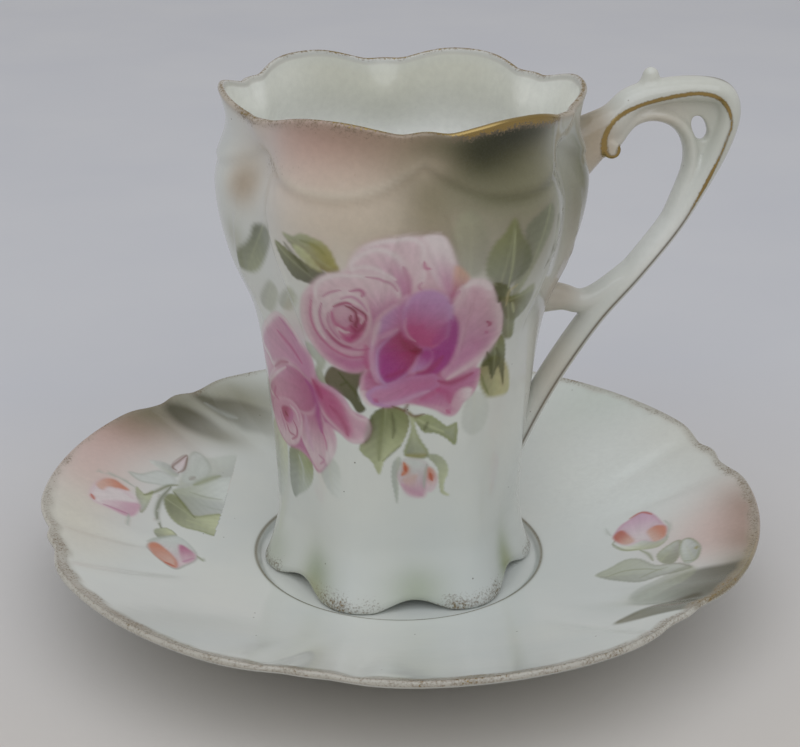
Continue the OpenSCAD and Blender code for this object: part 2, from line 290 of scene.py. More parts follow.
# Roses on the cup, laid from the back to the front. Each row: outline, root and tip of its shading, colours at the
# root and the tip, strength, softness of the edge, colour of the rim and how far that reaches in.
ROSE_SPRAY = [
    # shadow leaves
    ([69, 632, 63, 670, 70, 706, 84, 721, 97, 709, 105, 677, 106, 640, 93, 617], [88, 619, 84, 717], "leaf_shade",
     "leaf_grey", 0.35, 1.4),
    ([115, 379, 128, 395, 153, 382, 162, 351, 151, 324, 128, 317, 111, 339], [129, 389, 135, 320], "grey_leaf",
     "grey_leaf", 0.3, 0.9),
    ([-158, 249, -131, 269, -114, 258, -111, 229, -117, 198, -141, 208, -155, 227], [-136, 264, -127, 199],
     "grey_leaf", "mist", 0.5, 0.9),
    ([-229, 661, -197, 667, -190, 650, -210, 619, -238, 585, -263, 572, -279, 576, -279, 597, -268, 611, -253, 623,
     -240, 640], [-212, 662, -264, 575], "leaf_shade", "leaf_grey", 0.92, 1.3),
    ([-214, 569, -200, 563, -207, 542, -240, 508, -264, 508, -262, 523, -235, 551], [-212, 565, -256, 507],
     "leaf_grey", "leaf_grey", 0.55, 1.3),
    ([-158, 578, -152, 566, -161, 547, -184, 529, -203, 530, -193, 549, -169, 570], [-159, 574, -192, 530],
     "leaf_grey", "leaf_grey", 0.55, 1.3),
    # leaves at the right
    ([161, 685, 181, 702, 206, 711, 209, 682, 197, 650, 186, 621, 175, 592, 165, 567, 160, 553, 155, 587, 162, 617,
     163, 651], [201, 707, 163, 560], "leaf_shade", "leaf_grey", 0.8, 0.9),
    ([141, 704, 153, 677, 170, 648, 177, 624, 168, 607, 154, 597, 145, 588, 130, 588, 117, 601, 109, 624, 109, 648,
     116, 669, 129, 684], [132, 593, 142, 694], "leaf_shade", "leaf_dark", 0.8, 0.9),
    ([121, 599, 145, 590, 157, 561, 166, 524, 151, 540, 138, 559], [124, 597, 161, 531], "moss", "leaf_dark", 0.95),
    ([154, 566, 174, 571, 196, 579, 204, 546, 196, 526, 178, 517, 161, 537], [156, 562, 191, 569], "leaf_dark",
     "leaf_grey", 0.9, 0.9),
    ([145, 559, 165, 549, 182, 517, 193, 483, 173, 485, 160, 508, 151, 534], [154, 555, 183, 484], "leaf_shade",
     "leaf_dark", 0.85, 0.9),
    ([134, 438, 144, 450, 168, 452, 197, 424, 211, 394, 210, 374, 183, 376, 158, 381, 143, 399, 135, 419], [157, 466,
     172, 381], "olive", "olive_light", 0.9, 1.1),
    ([139, 455, 145, 476, 153, 491, 167, 491, 181, 466, 187, 435, 193, 393, 173, 432, 162, 413, 152, 437, 138, 441],
     [158, 488, 164, 414], "leaf_dark", "moss", 0.9, 0.7),
    # bud at the upper left
    ([-152, 675, -137, 674, -122, 681, -108, 677, -97, 673, -87, 661, -81, 644, -77, 626, -89, 622, -101, 627, -114,
     635, -125, 644, -137, 656], [-147, 672, -81, 627], "leaf_grey", "olive", 0.92, 0.7),
    ([-171, 656, -156, 654, -145, 647, -133, 640, -121, 633, -108, 626, -94, 620, -107, 605, -117, 597, -130, 599,
     -144, 602, -154, 615, -163, 631], [-167, 652, -111, 606], "leaf_dark", "moss", 0.87),
    ([-137, 659, -127, 657, -116, 648, -107, 634, -101, 623, -112, 626, -122, 634, -131, 644], [-136, 656, -103, 626],
     "leaf_light", "olive_light", 0.85, 0.7),
    # leaf between the roses
    ([-161, 475, -144, 472, -129, 464, -125, 448, -134, 427, -123, 412, -141, 404, -150, 423, -142, 443, -158, 455],
     [-155, 471, -136, 412], "grey_leaf", "leaf_grey", 0.75, 0.8),
    ([-113, 442, -90, 439, -60, 446, -62, 426, -71, 407, -69, 388, -59, 373, -71, 366, -84, 385, -102, 396, -124, 406,
     -128, 421], [-109, 437, -66, 370], "leaf_brown", "moss", 0.95),
    # leaves below
    ([-53, 351, -41, 370, -20, 380, 3, 374, 16, 356, 13, 331, 1, 306, -15, 293, -28, 277, -37, 252, -49, 275, -67,
     291, -70, 303, -57, 323], [-24, 376, -33, 262], "leaf_dark", "leaf_light", 0.95),
    ([23, 359, 49, 362, 67, 351, 84, 338, 101, 342, 101, 303, 83, 316, 64, 327, 43, 330, 32, 344], [28, 353, 100,
     314], "leaf", "leaf_grey", 0.93, 0.5, "leaf", 0.5),
    ([-257, 246, -224, 265, -198, 263, -182, 245, -185, 213, -208, 185, -241, 164, -262, 151, -271, 175, -267, 210],
     [-218, 262, -239, 175], "leaf", "grey_leaf", 0.9),
    ([-321, 276, -285, 290, -272, 275, -268, 248, -275, 207, -300, 149, -340, 133, -348, 178, -337, 231], [-286, 286,
     -315, 147], "leaf_light", "mist", 0.75, 0.8),
    # hanging bud
    ([15, 369, 24, 357, 28, 335, 38, 314, 52, 292, 45, 281, 19, 284, 8, 292, 15, 317, 20, 339], [19, 363, 30, 287],
     "leaf_light", "leaf_grey", 0.9, 0.7, "leaf", 0.4),
    ([-6, 260, 1, 275, 15, 282, 38, 278, 53, 267, 56, 242, 53, 215, 44, 205, 21, 212, 5, 229, -3, 244], [26, 278, 29,
     208], "mist", "pink", 0.85, 0.8, "shell", 0.5),
    ([51, 260, 61, 259, 71, 241, 68, 223, 57, 216, 50, 238], [59, 257, 61, 218], "orange", "shell", 0.8, 0.7, "shell",
     0.5),
    ([48, 287, 70, 285, 86, 270, 91, 251, 85, 232, 86, 215, 96, 206, 81, 211, 75, 235, 72, 258, 60, 274], [56, 284,
     86, 213], "leaf_grey", "leaf_light", 0.85),
    ([-1, 285, -12, 272, -14, 245, -10, 221, -4, 196, -2, 225, -4, 252, 3, 273], [-3, 283, -4, 202], "grey_leaf",
     "grey_leaf", 0.75),
    # pale rose: ground, then petals from the back to the front
    ([-138, 563, -125, 585, -110, 604, -96, 617, -78, 624, -64, 635, -58, 652, -50, 666, -39, 675, -26, 680, 1, 683,
     29, 681, 50, 682, 59, 669, 65, 650, 71, 626, 72, 600, 65, 566, 44, 519, -1, 483, -40, 460, -65, 442, -90, 441,
     -115, 450, -140, 472, -153, 496, -151, 529], [-37, 522, -26, 675], "blush_pink", "shell", 0.95, 1.1,
     "white_petal", 0.9),
    ([29, 680, 50, 682, 59, 668, 65, 648, 71, 625, 72, 598, 66, 579, 56, 591, 46, 610, 38, 627, 30, 641, 25, 661],
     [66, 583, 42, 673], "rose_light", "white_petal", 0.95, 0.8, "white_petal", 0.7),
    ([-44, 670, -26, 680, -2, 682, 17, 679, 29, 667, 31, 641, 32, 617, 27, 599, 15, 591, 9, 612, 6, 633, -2, 649, -14,
     662, -28, 667], [12, 598, -4, 676], "shell", "shell", 0.95, 0.8, "white_petal", 0.6),
    ([-62, 642, -50, 658, -36, 667, -20, 666, -4, 653, 5, 633, 12, 607, 11, 582, 3, 571, -4, 593, -12, 609, -24, 621,
     -41, 626, -58, 625], [4, 588, -40, 663], "rose_light", "shell", 0.95, 0.8, "white_petal", 0.6),
    ([-138, 563, -125, 583, -111, 595, -111, 570, -120, 539, -122, 509, -112, 488, -97, 474, -78, 468, -60, 470, -46,
     479, -45, 456, -60, 444, -81, 440, -101, 446, -122, 456, -140, 472, -151, 494, -150, 528], [-54, 467, -139, 547],
     "rose", "blush_pink", 0.96, 0.8, "shell", 0.7),
    ([-114, 592, -101, 610, -82, 620, -63, 623, -44, 623, -26, 621, -12, 611, -3, 593, 1, 569, -7, 549, -21, 530, -32,
     508, -44, 488, -52, 501, -48, 541, -52, 578, -65, 594, -85, 591, -100, 578, -113, 566], [-18, 545, -41, 609],
     "rose_light", "shell", 0.96, 0.8, "white_petal", 0.5),
    ([-112, 568, -98, 585, -78, 596, -60, 595, -48, 582, -42, 553, -41, 522, -48, 490, -66, 477, -87, 474, -106, 482,
     -119, 498, -123, 525, -120, 549], [-69, 481, -81, 592], "pink", "white_petal", 0.93, 0.7, "shell", 0.6),
    ([-101, 559, -86, 578, -69, 585, -56, 577, -45, 559, -45, 531, -54, 505, -73, 488, -90, 491, -103, 502, -107,
     528], [-74, 489, -82, 579], "pink", "white_petal", 0.93, 0.7, "shell", 0.5),
    ([-96, 550, -87, 563, -73, 573, -61, 569, -52, 561, -46, 545, -51, 525, -61, 506, -76, 495, -88, 503, -96, 519,
     -99, 536], [-58, 521, -90, 553], "deep_rose", "blush_pink", 0.9, 0.7, "pink", 0.4),
    ([-87, 556, -76, 564, -68, 555, -70, 539, -78, 526, -85, 531], [-85, 554, -74, 533], "blush_pink", "pink", 0.8,
     0.7),
    ([-94, 521, -87, 519, -79, 512, -68, 512, -75, 497, -85, 499, -92, 508], [-91, 520, -76, 499], "shell",
     "deep_rose", 0.75, 0.6),
    # the edge of a petal that shows between the two roses
    ([70, 632, 78, 628, 87, 612, 82, 598, 76, 582, 68, 573, 70, 600], [70, 577, 77, 627], "rose_dark", "peach", 0.8,
     0.9),
    # deep rose: ground, then petals from the back to the front
    ([-45, 492, -36, 532, -28, 550, -15, 564, 1, 578, 19, 591, 39, 593, 59, 582, 69, 572, 76, 582, 82, 598, 94, 608,
     107, 605, 121, 590, 136, 561, 153, 524, 159, 497, 150, 479, 135, 460, 126, 443, 132, 427, 129, 406, 121, 392,
     108, 380, 96, 361, 80, 361, 62, 372, 38, 381, 8, 385, -17, 380, -37, 382, -50, 388, -62, 400, -61, 426, -50, 445,
     -49, 471], [39, 481, 121, 570], "rose", "pink", 0.96, 1.0, "shell", 0.8),
    ([65, 537, 68, 562, 74, 582, 81, 598, 94, 608, 107, 605, 121, 590, 136, 561, 153, 524, 159, 497, 149, 477, 131,
     460, 112, 445, 91, 433, 76, 424, 68, 441, 78, 464, 86, 487, 82, 513], [74, 479, 120, 578], "rose_light",
     "blush_pink", 0.97, 0.8, "shell", 1.2),
    ([-38, 522, -30, 548, -15, 564, 1, 576, 9, 583, 10, 555, 6, 532, -4, 517, -19, 508, -32, 500, -42, 486], [8, 525,
     -32, 542], "rose", "lavender", 0.9, 1.1, "blush_pink", 0.6),
    ([59, 431, 76, 424, 97, 427, 117, 435, 133, 436, 132, 409, 123, 392, 109, 385, 100, 366, 88, 358, 75, 367, 60,
     374, 41, 380, 25, 388, 47, 398, 60, 410], [80, 416, 109, 365], "rose", "pink", 0.96, 0.7, "blush_pink", 0.6),
    ([96, 396, 107, 404, 122, 401, 120, 387, 108, 382, 100, 368, 90, 378], [94, 391, 121, 396], "blush_pink",
     "white_petal", 0.85, 0.9),
    ([-62, 431, -50, 447, -38, 440, -23, 422, -35, 411, -50, 399, -62, 400], [-34, 433, -60, 408], "rose_dark",
     "rose_light", 0.95, 0.9, "blush_pink", 0.5),
    ([-65, 402, -55, 406, -43, 398, -32, 383, -47, 379, -60, 387], [-47, 399, -59, 388], "pink", "white_petal", 0.9,
     0.8, "white_petal", 0.5),
    ([-47, 482, -41, 500, -29, 512, -14, 520, 0, 527, 1, 505, -15, 492, -24, 479, -29, 461, -31, 442, -25, 420, -39,
     427, -47, 453, -49, 469], [-7, 510, -46, 460], "rose", "lavender_light", 0.93, 0.9, "lavender_light", 0.6),
    ([-35, 483, -23, 500, -10, 514, 3, 521, 17, 511, 30, 497, 40, 481, 41, 465, 30, 452, 17, 442, 3, 431, -10, 422,
     -25, 420, -36, 437, -38, 460], [19, 488, -31, 453], "crimson", "magenta", 0.95, 1.3, "lavender", 0.4),
    ([26, 434, 41, 457, 52, 477, 62, 487, 71, 504, 71, 527, 73, 545, 83, 527, 87, 497, 84, 473, 76, 453, 62, 440, 46,
     430], [75, 527, 39, 437], "purple", "magenta", 0.93, 1.0),
    ([3, 533, 4, 557, 11, 577, 24, 588, 42, 591, 58, 583, 69, 566, 73, 541, 73, 515, 70, 498, 59, 487, 47, 481, 31,
     485, 14, 497, 5, 513], [20, 507, 50, 582], "deep_rose", "lavender", 0.95, 1.1, "lavender", 0.6),
    ([14, 440, 23, 458, 31, 476, 40, 485, 50, 479, 52, 464, 45, 451, 32, 441], [36, 478, 17, 442], "magenta",
     "lavender", 0.9, 0.8, "rose_light", 0.45),
    ([-55, 401, -40, 414, -22, 418, -5, 424, 13, 431, 32, 434, 52, 436, 61, 430, 65, 419, 57, 409, 40, 402, 20, 394,
     0, 385, -20, 380, -39, 381, -50, 388], [39, 432, -44, 390], "rose", "rose_light", 0.96, 0.7, "lavender", 0.7),
    # side rose: ground and petals
    ([-317, 441, -273, 477, -233, 505, -209, 507, -191, 491, -174, 471, -157, 452, -152, 426, -141, 407, -117, 401,
     -97, 387, -83, 367, -58, 355, -51, 337, -61, 315, -84, 311, -104, 323, -122, 326, -117, 305, -123, 280, -145,
     249, -166, 233, -188, 249, -219, 257, -259, 253, -288, 264, -310, 288, -324, 316, -323, 348, -324, 376, -346,
     397], [-156, 379, -250, 468], "rose", "blush_pink", 0.95, 0.9, "shell", 0.6),
    ([-319, 439, -273, 477, -233, 505, -209, 507, -191, 491, -177, 472, -159, 454, -151, 430, -157, 404, -177, 402,
     -200, 413, -230, 415, -278, 395, -296, 407, -321, 416], [-163, 416, -270, 469], "rose_light", "pink", 0.96, 0.7,
     "white_petal", 0.8),
    ([-312, 358, -275, 392, -233, 414, -199, 417, -174, 407, -156, 392, -149, 372, -164, 347, -191, 333, -219, 329,
     -253, 331, -286, 329, -314, 337], [-155, 381, -289, 363], "rose_dark", "pink", 0.96, 0.8, "shell", 0.4),
    ([-206, 334, -185, 337, -164, 347, -147, 371, -141, 341, -131, 320, -124, 297, -136, 267, -160, 237, -176, 245,
     -191, 263, -204, 280, -209, 303], [-157, 364, -155, 250], "rose_dark", "shell", 0.95, 0.8, "shell", 0.5),
    ([-135, 332, -122, 328, -115, 307, -121, 281, -139, 257, -138, 291, -141, 315], [-135, 328, -129, 269],
     "blush_pink", "white_petal", 0.8, 0.8),
    ([-304, 316, -270, 338, -232, 346, -208, 339, -199, 319, -208, 290, -227, 266, -258, 255, -280, 263, -300, 284],
     [-253, 316, -237, 268], "pink", "shell", 0.95, 0.7, "shell", 0.4),
    ([-268, 319, -243, 329, -227, 323, -238, 304, -258, 299], [-257, 317, -238, 306], "crimson", "rose", 0.85, 0.6),
    ([-159, 408, -141, 404, -117, 401, -97, 387, -83, 367, -70, 357, -56, 353, -51, 337, -59, 318, -75, 310, -89, 312,
     -104, 324, -119, 334, -136, 346, -148, 363, -157, 384], [-153, 400, -62, 327], "deep_rose", "blush_pink", 0.97,
     0.7, "shell", 0.6),
    ([-129, 374, -110, 378, -96, 359, -85, 333, -91, 318, -105, 330, -121, 343, -131, 355], [-123, 372, -91, 323],
     "deep_rose", "deep_rose", 0.5, 1.3),
]

# Brush lines over the petals: points, colour, width, strength
ROSE_LINES = [
    # folds of the pale rose
    ([-123, 567, -134, 529, -131, 501, -116, 483, -99, 472, -79, 466, -57, 469], "deep_rose", 0.35, 0.6),
    ([-108, 565, -116, 538, -114, 511, -101, 493, -86, 484, -66, 481, -48, 484], "rose_dark", 0.35, 0.7),
    ([-111, 512, -103, 498, -90, 487, -76, 485], "crimson", 0.35, 0.6),
    ([-101, 549, -105, 529, -102, 512, -93, 498], "rose_dark", 0.3, 0.6),
    ([-112, 588, -122, 552, -126, 514, -118, 494], "white_petal", 0.35, 0.5),
    ([-105, 577, -92, 588, -78, 594], "rose_dark", 0.25, 0.6),
    ([-65, 594, -52, 597, -48, 591, -51, 585], "rose_dark", 0.35, 0.75),
    ([-79, 578, -63, 584, -52, 574, -44, 557], "rose", 0.3, 0.6),
    ([-61, 632, -44, 638, -26, 631, -7, 614], "white_petal", 0.5, 0.7),
    ([-44, 621, -26, 617, -12, 607, -4, 593], "rose_dark", 0.3, 0.6),
    ([3, 635, 10, 610, 11, 584], "rose_dark", 0.5, 0.5),
    ([30, 641, 32, 631, 39, 629], "deep_rose", 0.35, 0.6),
    ([27, 593, 24, 600, 29, 607], "rose_dark", 0.3, 0.5),
    ([-53, 490, -51, 471, -52, 449], "deep_rose", 0.8, 0.55),
    ([-43, 492, -36, 518, -29, 538], "shell", 0.5, 0.45),
    # its heart
    ([-95, 551, -95, 533, -88, 522, -82, 522], "deep_rose", 0.45, 0.6),
    ([-92, 561, -81, 568, -71, 572, -64, 569], "crimson", 0.28, 0.75),
    ([-74, 566, -67, 563, -61, 556, -61, 550], "wine", 0.3, 0.85),
    ([-64, 567, -56, 560, -48, 551, -47, 539], "wine", 0.22, 0.8),
    ([-61, 550, -60, 540, -64, 530, -62, 524], "wine", 0.4, 0.85),
    ([-68, 549, -70, 539, -67, 536], "wine", 0.28, 0.8),
    ([-68, 524, -62, 518, -54, 527, -50, 539], "wine", 0.4, 0.65),
    ([-71, 527, -65, 514, -72, 503], "crimson", 0.5, 0.7),
    ([-91, 522, -83, 514, -74, 515], "shell", 0.25, 0.7),
    ([-91, 514, -83, 504, -74, 501], "deep_rose", 0.4, 0.6),
    ([-57, 551, -53, 543, -56, 533], "shell", 0.3, 0.6),
    # folds of the deep rose
    ([4, 499, 16, 490, 27, 483], "wine", 1.0, 0.75),
    ([16, 482, 28, 478, 32, 483], "wine", 0.6, 0.7),
    ([-1, 505, 10, 497, 18, 486], "crimson", 0.9, 0.6),
    ([15, 526, 24, 518, 30, 527], "deep_rose", 1.3, 0.55),
    ([68, 530, 63, 506, 52, 494], "magenta", 1.1, 0.5),
    ([7, 544, 6, 525, 13, 507, 24, 497], "pink", 0.28, 0.5),
    ([3, 580, 11, 584, 8, 566], "lavender_light", 0.4, 0.4),
    ([50, 480, 62, 487, 72, 500], "purple", 0.4, 0.75),
    ([72, 537, 79, 513, 78, 488], "magenta", 0.6, 0.6),
    ([27, 440, 44, 442, 58, 454, 68, 468], "crimson", 0.6, 0.6),
    ([-22, 433, -7, 439, 6, 446], "crimson", 0.6, 0.5),
    ([-43, 492, -46, 471, -42, 449, -36, 431], "lavender_light", 0.5, 0.5),
    ([-28, 506, -16, 514, -4, 523], "lavender_light", 0.5, 0.5),
    ([160, 493, 146, 470, 125, 452, 101, 438, 78, 425], "shell", 0.75, 0.75),
    ([83, 600, 95, 606, 109, 603, 119, 590], "white_petal", 0.8, 0.7),
    ([134, 562, 149, 529, 157, 501], "shell", 0.4, 0.6),
    ([69, 568, 71, 579, 78, 591], "rose_dark", 0.5, 0.5),
    ([127, 528, 135, 521, 132, 517], "crimson", 0.35, 0.7),
    ([130, 508, 136, 503], "deep_rose", 0.35, 0.4),
    ([63, 423, 82, 418, 104, 424, 122, 431], "crimson", 0.6, 0.65),
    ([62, 408, 80, 398, 86, 382], "deep_rose", 0.9, 0.55),
    ([80, 368, 87, 362], "deep_rose", 0.5, 0.6),
    ([34, 390, 54, 400, 67, 410], "deep_rose", 0.5, 0.5),
    ([-27, 384, 0, 387, 25, 398, 49, 406], "lavender_light", 0.5, 0.6),
    ([-44, 392, -37, 387], "deep_rose", 0.5, 0.6),
    ([-20, 417, 3, 424, 33, 430], "rose", 0.7, 0.4),
    # folds of the side rose
    ([-242, 471, -224, 462, -203, 451, -180, 430], "deep_rose", 0.5, 0.6),
    ([-224, 501, -204, 487, -185, 469], "rose", 0.35, 0.6),
    ([-208, 504, -188, 487, -169, 463], "white_petal", 0.35, 0.5),
    ([-274, 394, -247, 411, -222, 419], "crimson", 0.5, 0.6),
    ([-305, 329, -318, 345, -274, 381, -232, 407], "white_petal", 0.4, 0.7),
    ([-282, 354, -293, 336, -276, 332], "rose_dark", 0.5, 0.6),
    ([-175, 401, -159, 387, -152, 367, -152, 341, -146, 314], "magenta", 0.9, 0.6),
    ([-157, 406, -149, 394, -139, 378], "crimson", 0.7, 0.55),
    ([-137, 405, -107, 395, -87, 372], "lavender_light", 0.6, 0.5),
    ([-186, 331, -185, 301, -175, 270], "lavender_light", 0.8, 0.6),
    ([-145, 317, -138, 297, -137, 280], "deep_rose", 0.25, 0.6),
    ([-159, 266, -146, 260, -158, 249], "rose_dark", 0.3, 0.55),
    ([-123, 368, -108, 357, -95, 337, -91, 321], "crimson", 0.6, 0.5),
    ([-257, 317, -247, 311], "wine", 0.4, 0.85),
    ([-234, 336, -216, 329, -210, 312], "white_petal", 0.3, 0.5),
    ([-230, 309, -220, 297, -224, 281, -244, 268], "crimson", 0.3, 0.7),
    ([-256, 293, -248, 280, -231, 280], "crimson", 0.28, 0.65),
    ([-278, 311, -270, 295, -263, 278], "rose_dark", 0.28, 0.55),
    # veins, stems and sepals
    ([-14, 380, 7, 372, 24, 361, 42, 364], "stem_brown", 0.35, 0.75),
    ([14, 383, 7, 371], "stem_brown", 0.4, 0.7),
    ([-27, 369, -29, 347, -34, 317, -37, 279], "leaf_dark", 0.7, 0.45),
    ([-14, 369, -10, 339, -12, 321], "moss", 0.4, 0.6),
    ([-30, 277, -12, 294, 4, 309], "leaf_dark", 0.25, 0.6),
    ([-48, 357, -51, 335, -59, 312], "moss", 0.8, 0.5),
    ([31, 355, 53, 341, 79, 328], "leaf_light", 0.3, 0.6),
    ([43, 334, 49, 349], "moss", 0.4, 0.6),
    ([-102, 435, -88, 419, -72, 399, -64, 380], "moss", 0.3, 0.8),
    ([-88, 419, -101, 410], "moss", 0.25, 0.7),
    ([-152, 660, -138, 641, -120, 618], "moss", 0.45, 0.6),
    ([-126, 670, -107, 666, -93, 652], "leaf_dark", 0.35, 0.5),
    ([-111, 667, -97, 656, -88, 638], "olive", 0.9, 0.5),
    ([146, 586, 146, 618, 144, 653, 142, 689], "leaf_light", 0.25, 0.4),
    ([152, 551, 149, 578, 162, 589], "bud_yellow", 0.3, 0.7),
    ([126, 593, 135, 576, 137, 563], "moss", 0.6, 0.85),
    ([143, 465, 153, 445, 157, 422], "moss", 0.5, 0.7),
    ([160, 469, 172, 447, 170, 433], "moss", 0.5, 0.6),
    ([138, 426, 146, 406, 158, 385], "leaf_dark", 0.3, 0.6),
    ([161, 556, 174, 533], "leaf_light", 0.3, 0.6),
    # a dark line in the crease beside the right ridge: painted shade
    ([226, 687, 230, 652, 225, 625, 214, 601], "sage_dark", 0.3, 0.7),
    ([-226, 244, -217, 221, -222, 189], "mist", 0.4, 0.5),
    ([8, 273, 12, 259, 5, 250], "orange", 0.7, 0.9),
    ([10, 267, 12, 257], "rust", 0.4, 0.8),
    ([57, 251, 62, 237], "rust", 0.5, 0.85),
    ([51, 269, 48, 246, 47, 223], "grey_leaf", 0.4, 0.7),
    ([5, 232, 21, 216, 44, 209], "pink", 0.8, 0.6),
    ([12, 288, 30, 286, 48, 287], "olive", 0.5, 0.6),
    ([9, 240, 20, 240, 31, 247], "peach", 1.2, 0.5),
]

# Airbrushed tints on the cup, some of them with painted shade: place, width and height of the cloud, colour, strength
CUP_TINTS = [
    ([-7.5, 78.6], 13, 9, "peach_tint", 0.75),
    ([-12.0, 82.0], 7, 5, "rose_tint", 0.35),
    ([-7.3, 82.4], 10, 4.8, "rose_tint", 0.7),
    ([-7.3, 84.2], 11, 1.8, "brown_tint", 0.5),
    ([-1.3, 82.6], 7, 4.6, "brown_tint", 0.7),
    ([3.4, 82.6], 5, 4.6, "brown_tint", 0.7),
    ([-0.8, 70.9], 13, 11, "sand_tint", 0.75),
    ([-8.5, 71.5], 8, 8, "sand_tint", 0.5),
    ([3.8, 73.1], 3.4, 7.5, "umber_tint", 0.75),
    ([8.5, 73.1], 9, 10, "umber_tint", 0.48),
    ([14.9, 76.0], 11, 13, "sage_tint", 0.85),
    ([18.1, 70.1], 6, 14, "sage_tint", 0.6),
    ([7.5, 80.8], 6, 5.5, "sage_tint", 0.75),
    ([11.8, 79.8], 8, 5, "olive_shade", 0.5),
    ([13.4, 83.6], 6.4, 4.8, "dark_olive", 0.98),
    ([10.2, 81.2], 4, 4, "dark_olive", 0.8),
    ([17.4, 83.6], 4.5, 2.8, "dark_olive", 0.65),
    ([13.0, 73.4], 6, 1.6, "sage_dark", 0.45),
    ([2.8, 78.6], 3, 2.4, "sand_tint", 0.65),
    ([-27.5, 63.0], 2, 3, "sage_light", 0.5),
    ([26.0, 59.3], 3, 7, "sage_light", 0.5),
    ([-17.3, 48.4], 2.5, 3, "lavender_light", 0.4),
    ([-25.3, 73.0], 3, 4.4, "sand_tint", 0.6),
    ([-25.3, 72.3], 2.4, 3, "taupe_tint", 0.8),
    ([28.7, 68.9], 2.5, 9, "sage_tint", 0.6),
    ([33.2, 72.9], 3.2, 8.5, "sage_dark", 0.8),
    ([31.7, 65.5], 3, 9, "sage_tint", 0.6),
    # the cup's right side, turned from the light, is painted darker: painted shade
    ([32.8, 53.5], 5, 10, "taupe_tint", 0.6),
    # grey-green clouds in the foot's arches: partly a sprayed tint, partly painted shade under the arches
    ([3.6, 3.0], 5.5, 4.2, "foot_green", 0.55),
    ([-17.6, 3.2], 4.5, 5, "foot_green", 0.7),
    ([-17.6, 0.4], 4, 2.4, "olive_light", 0.6),
    ([26.6, 1.9], 3.5, 6.5, "foot_green", 0.9),
    ([27.3, 2.2], 2.6, 3.4, "olive_light", 0.3),
    ([-32.3, 2.7], 5, 5, "foot_green", 0.4),
]

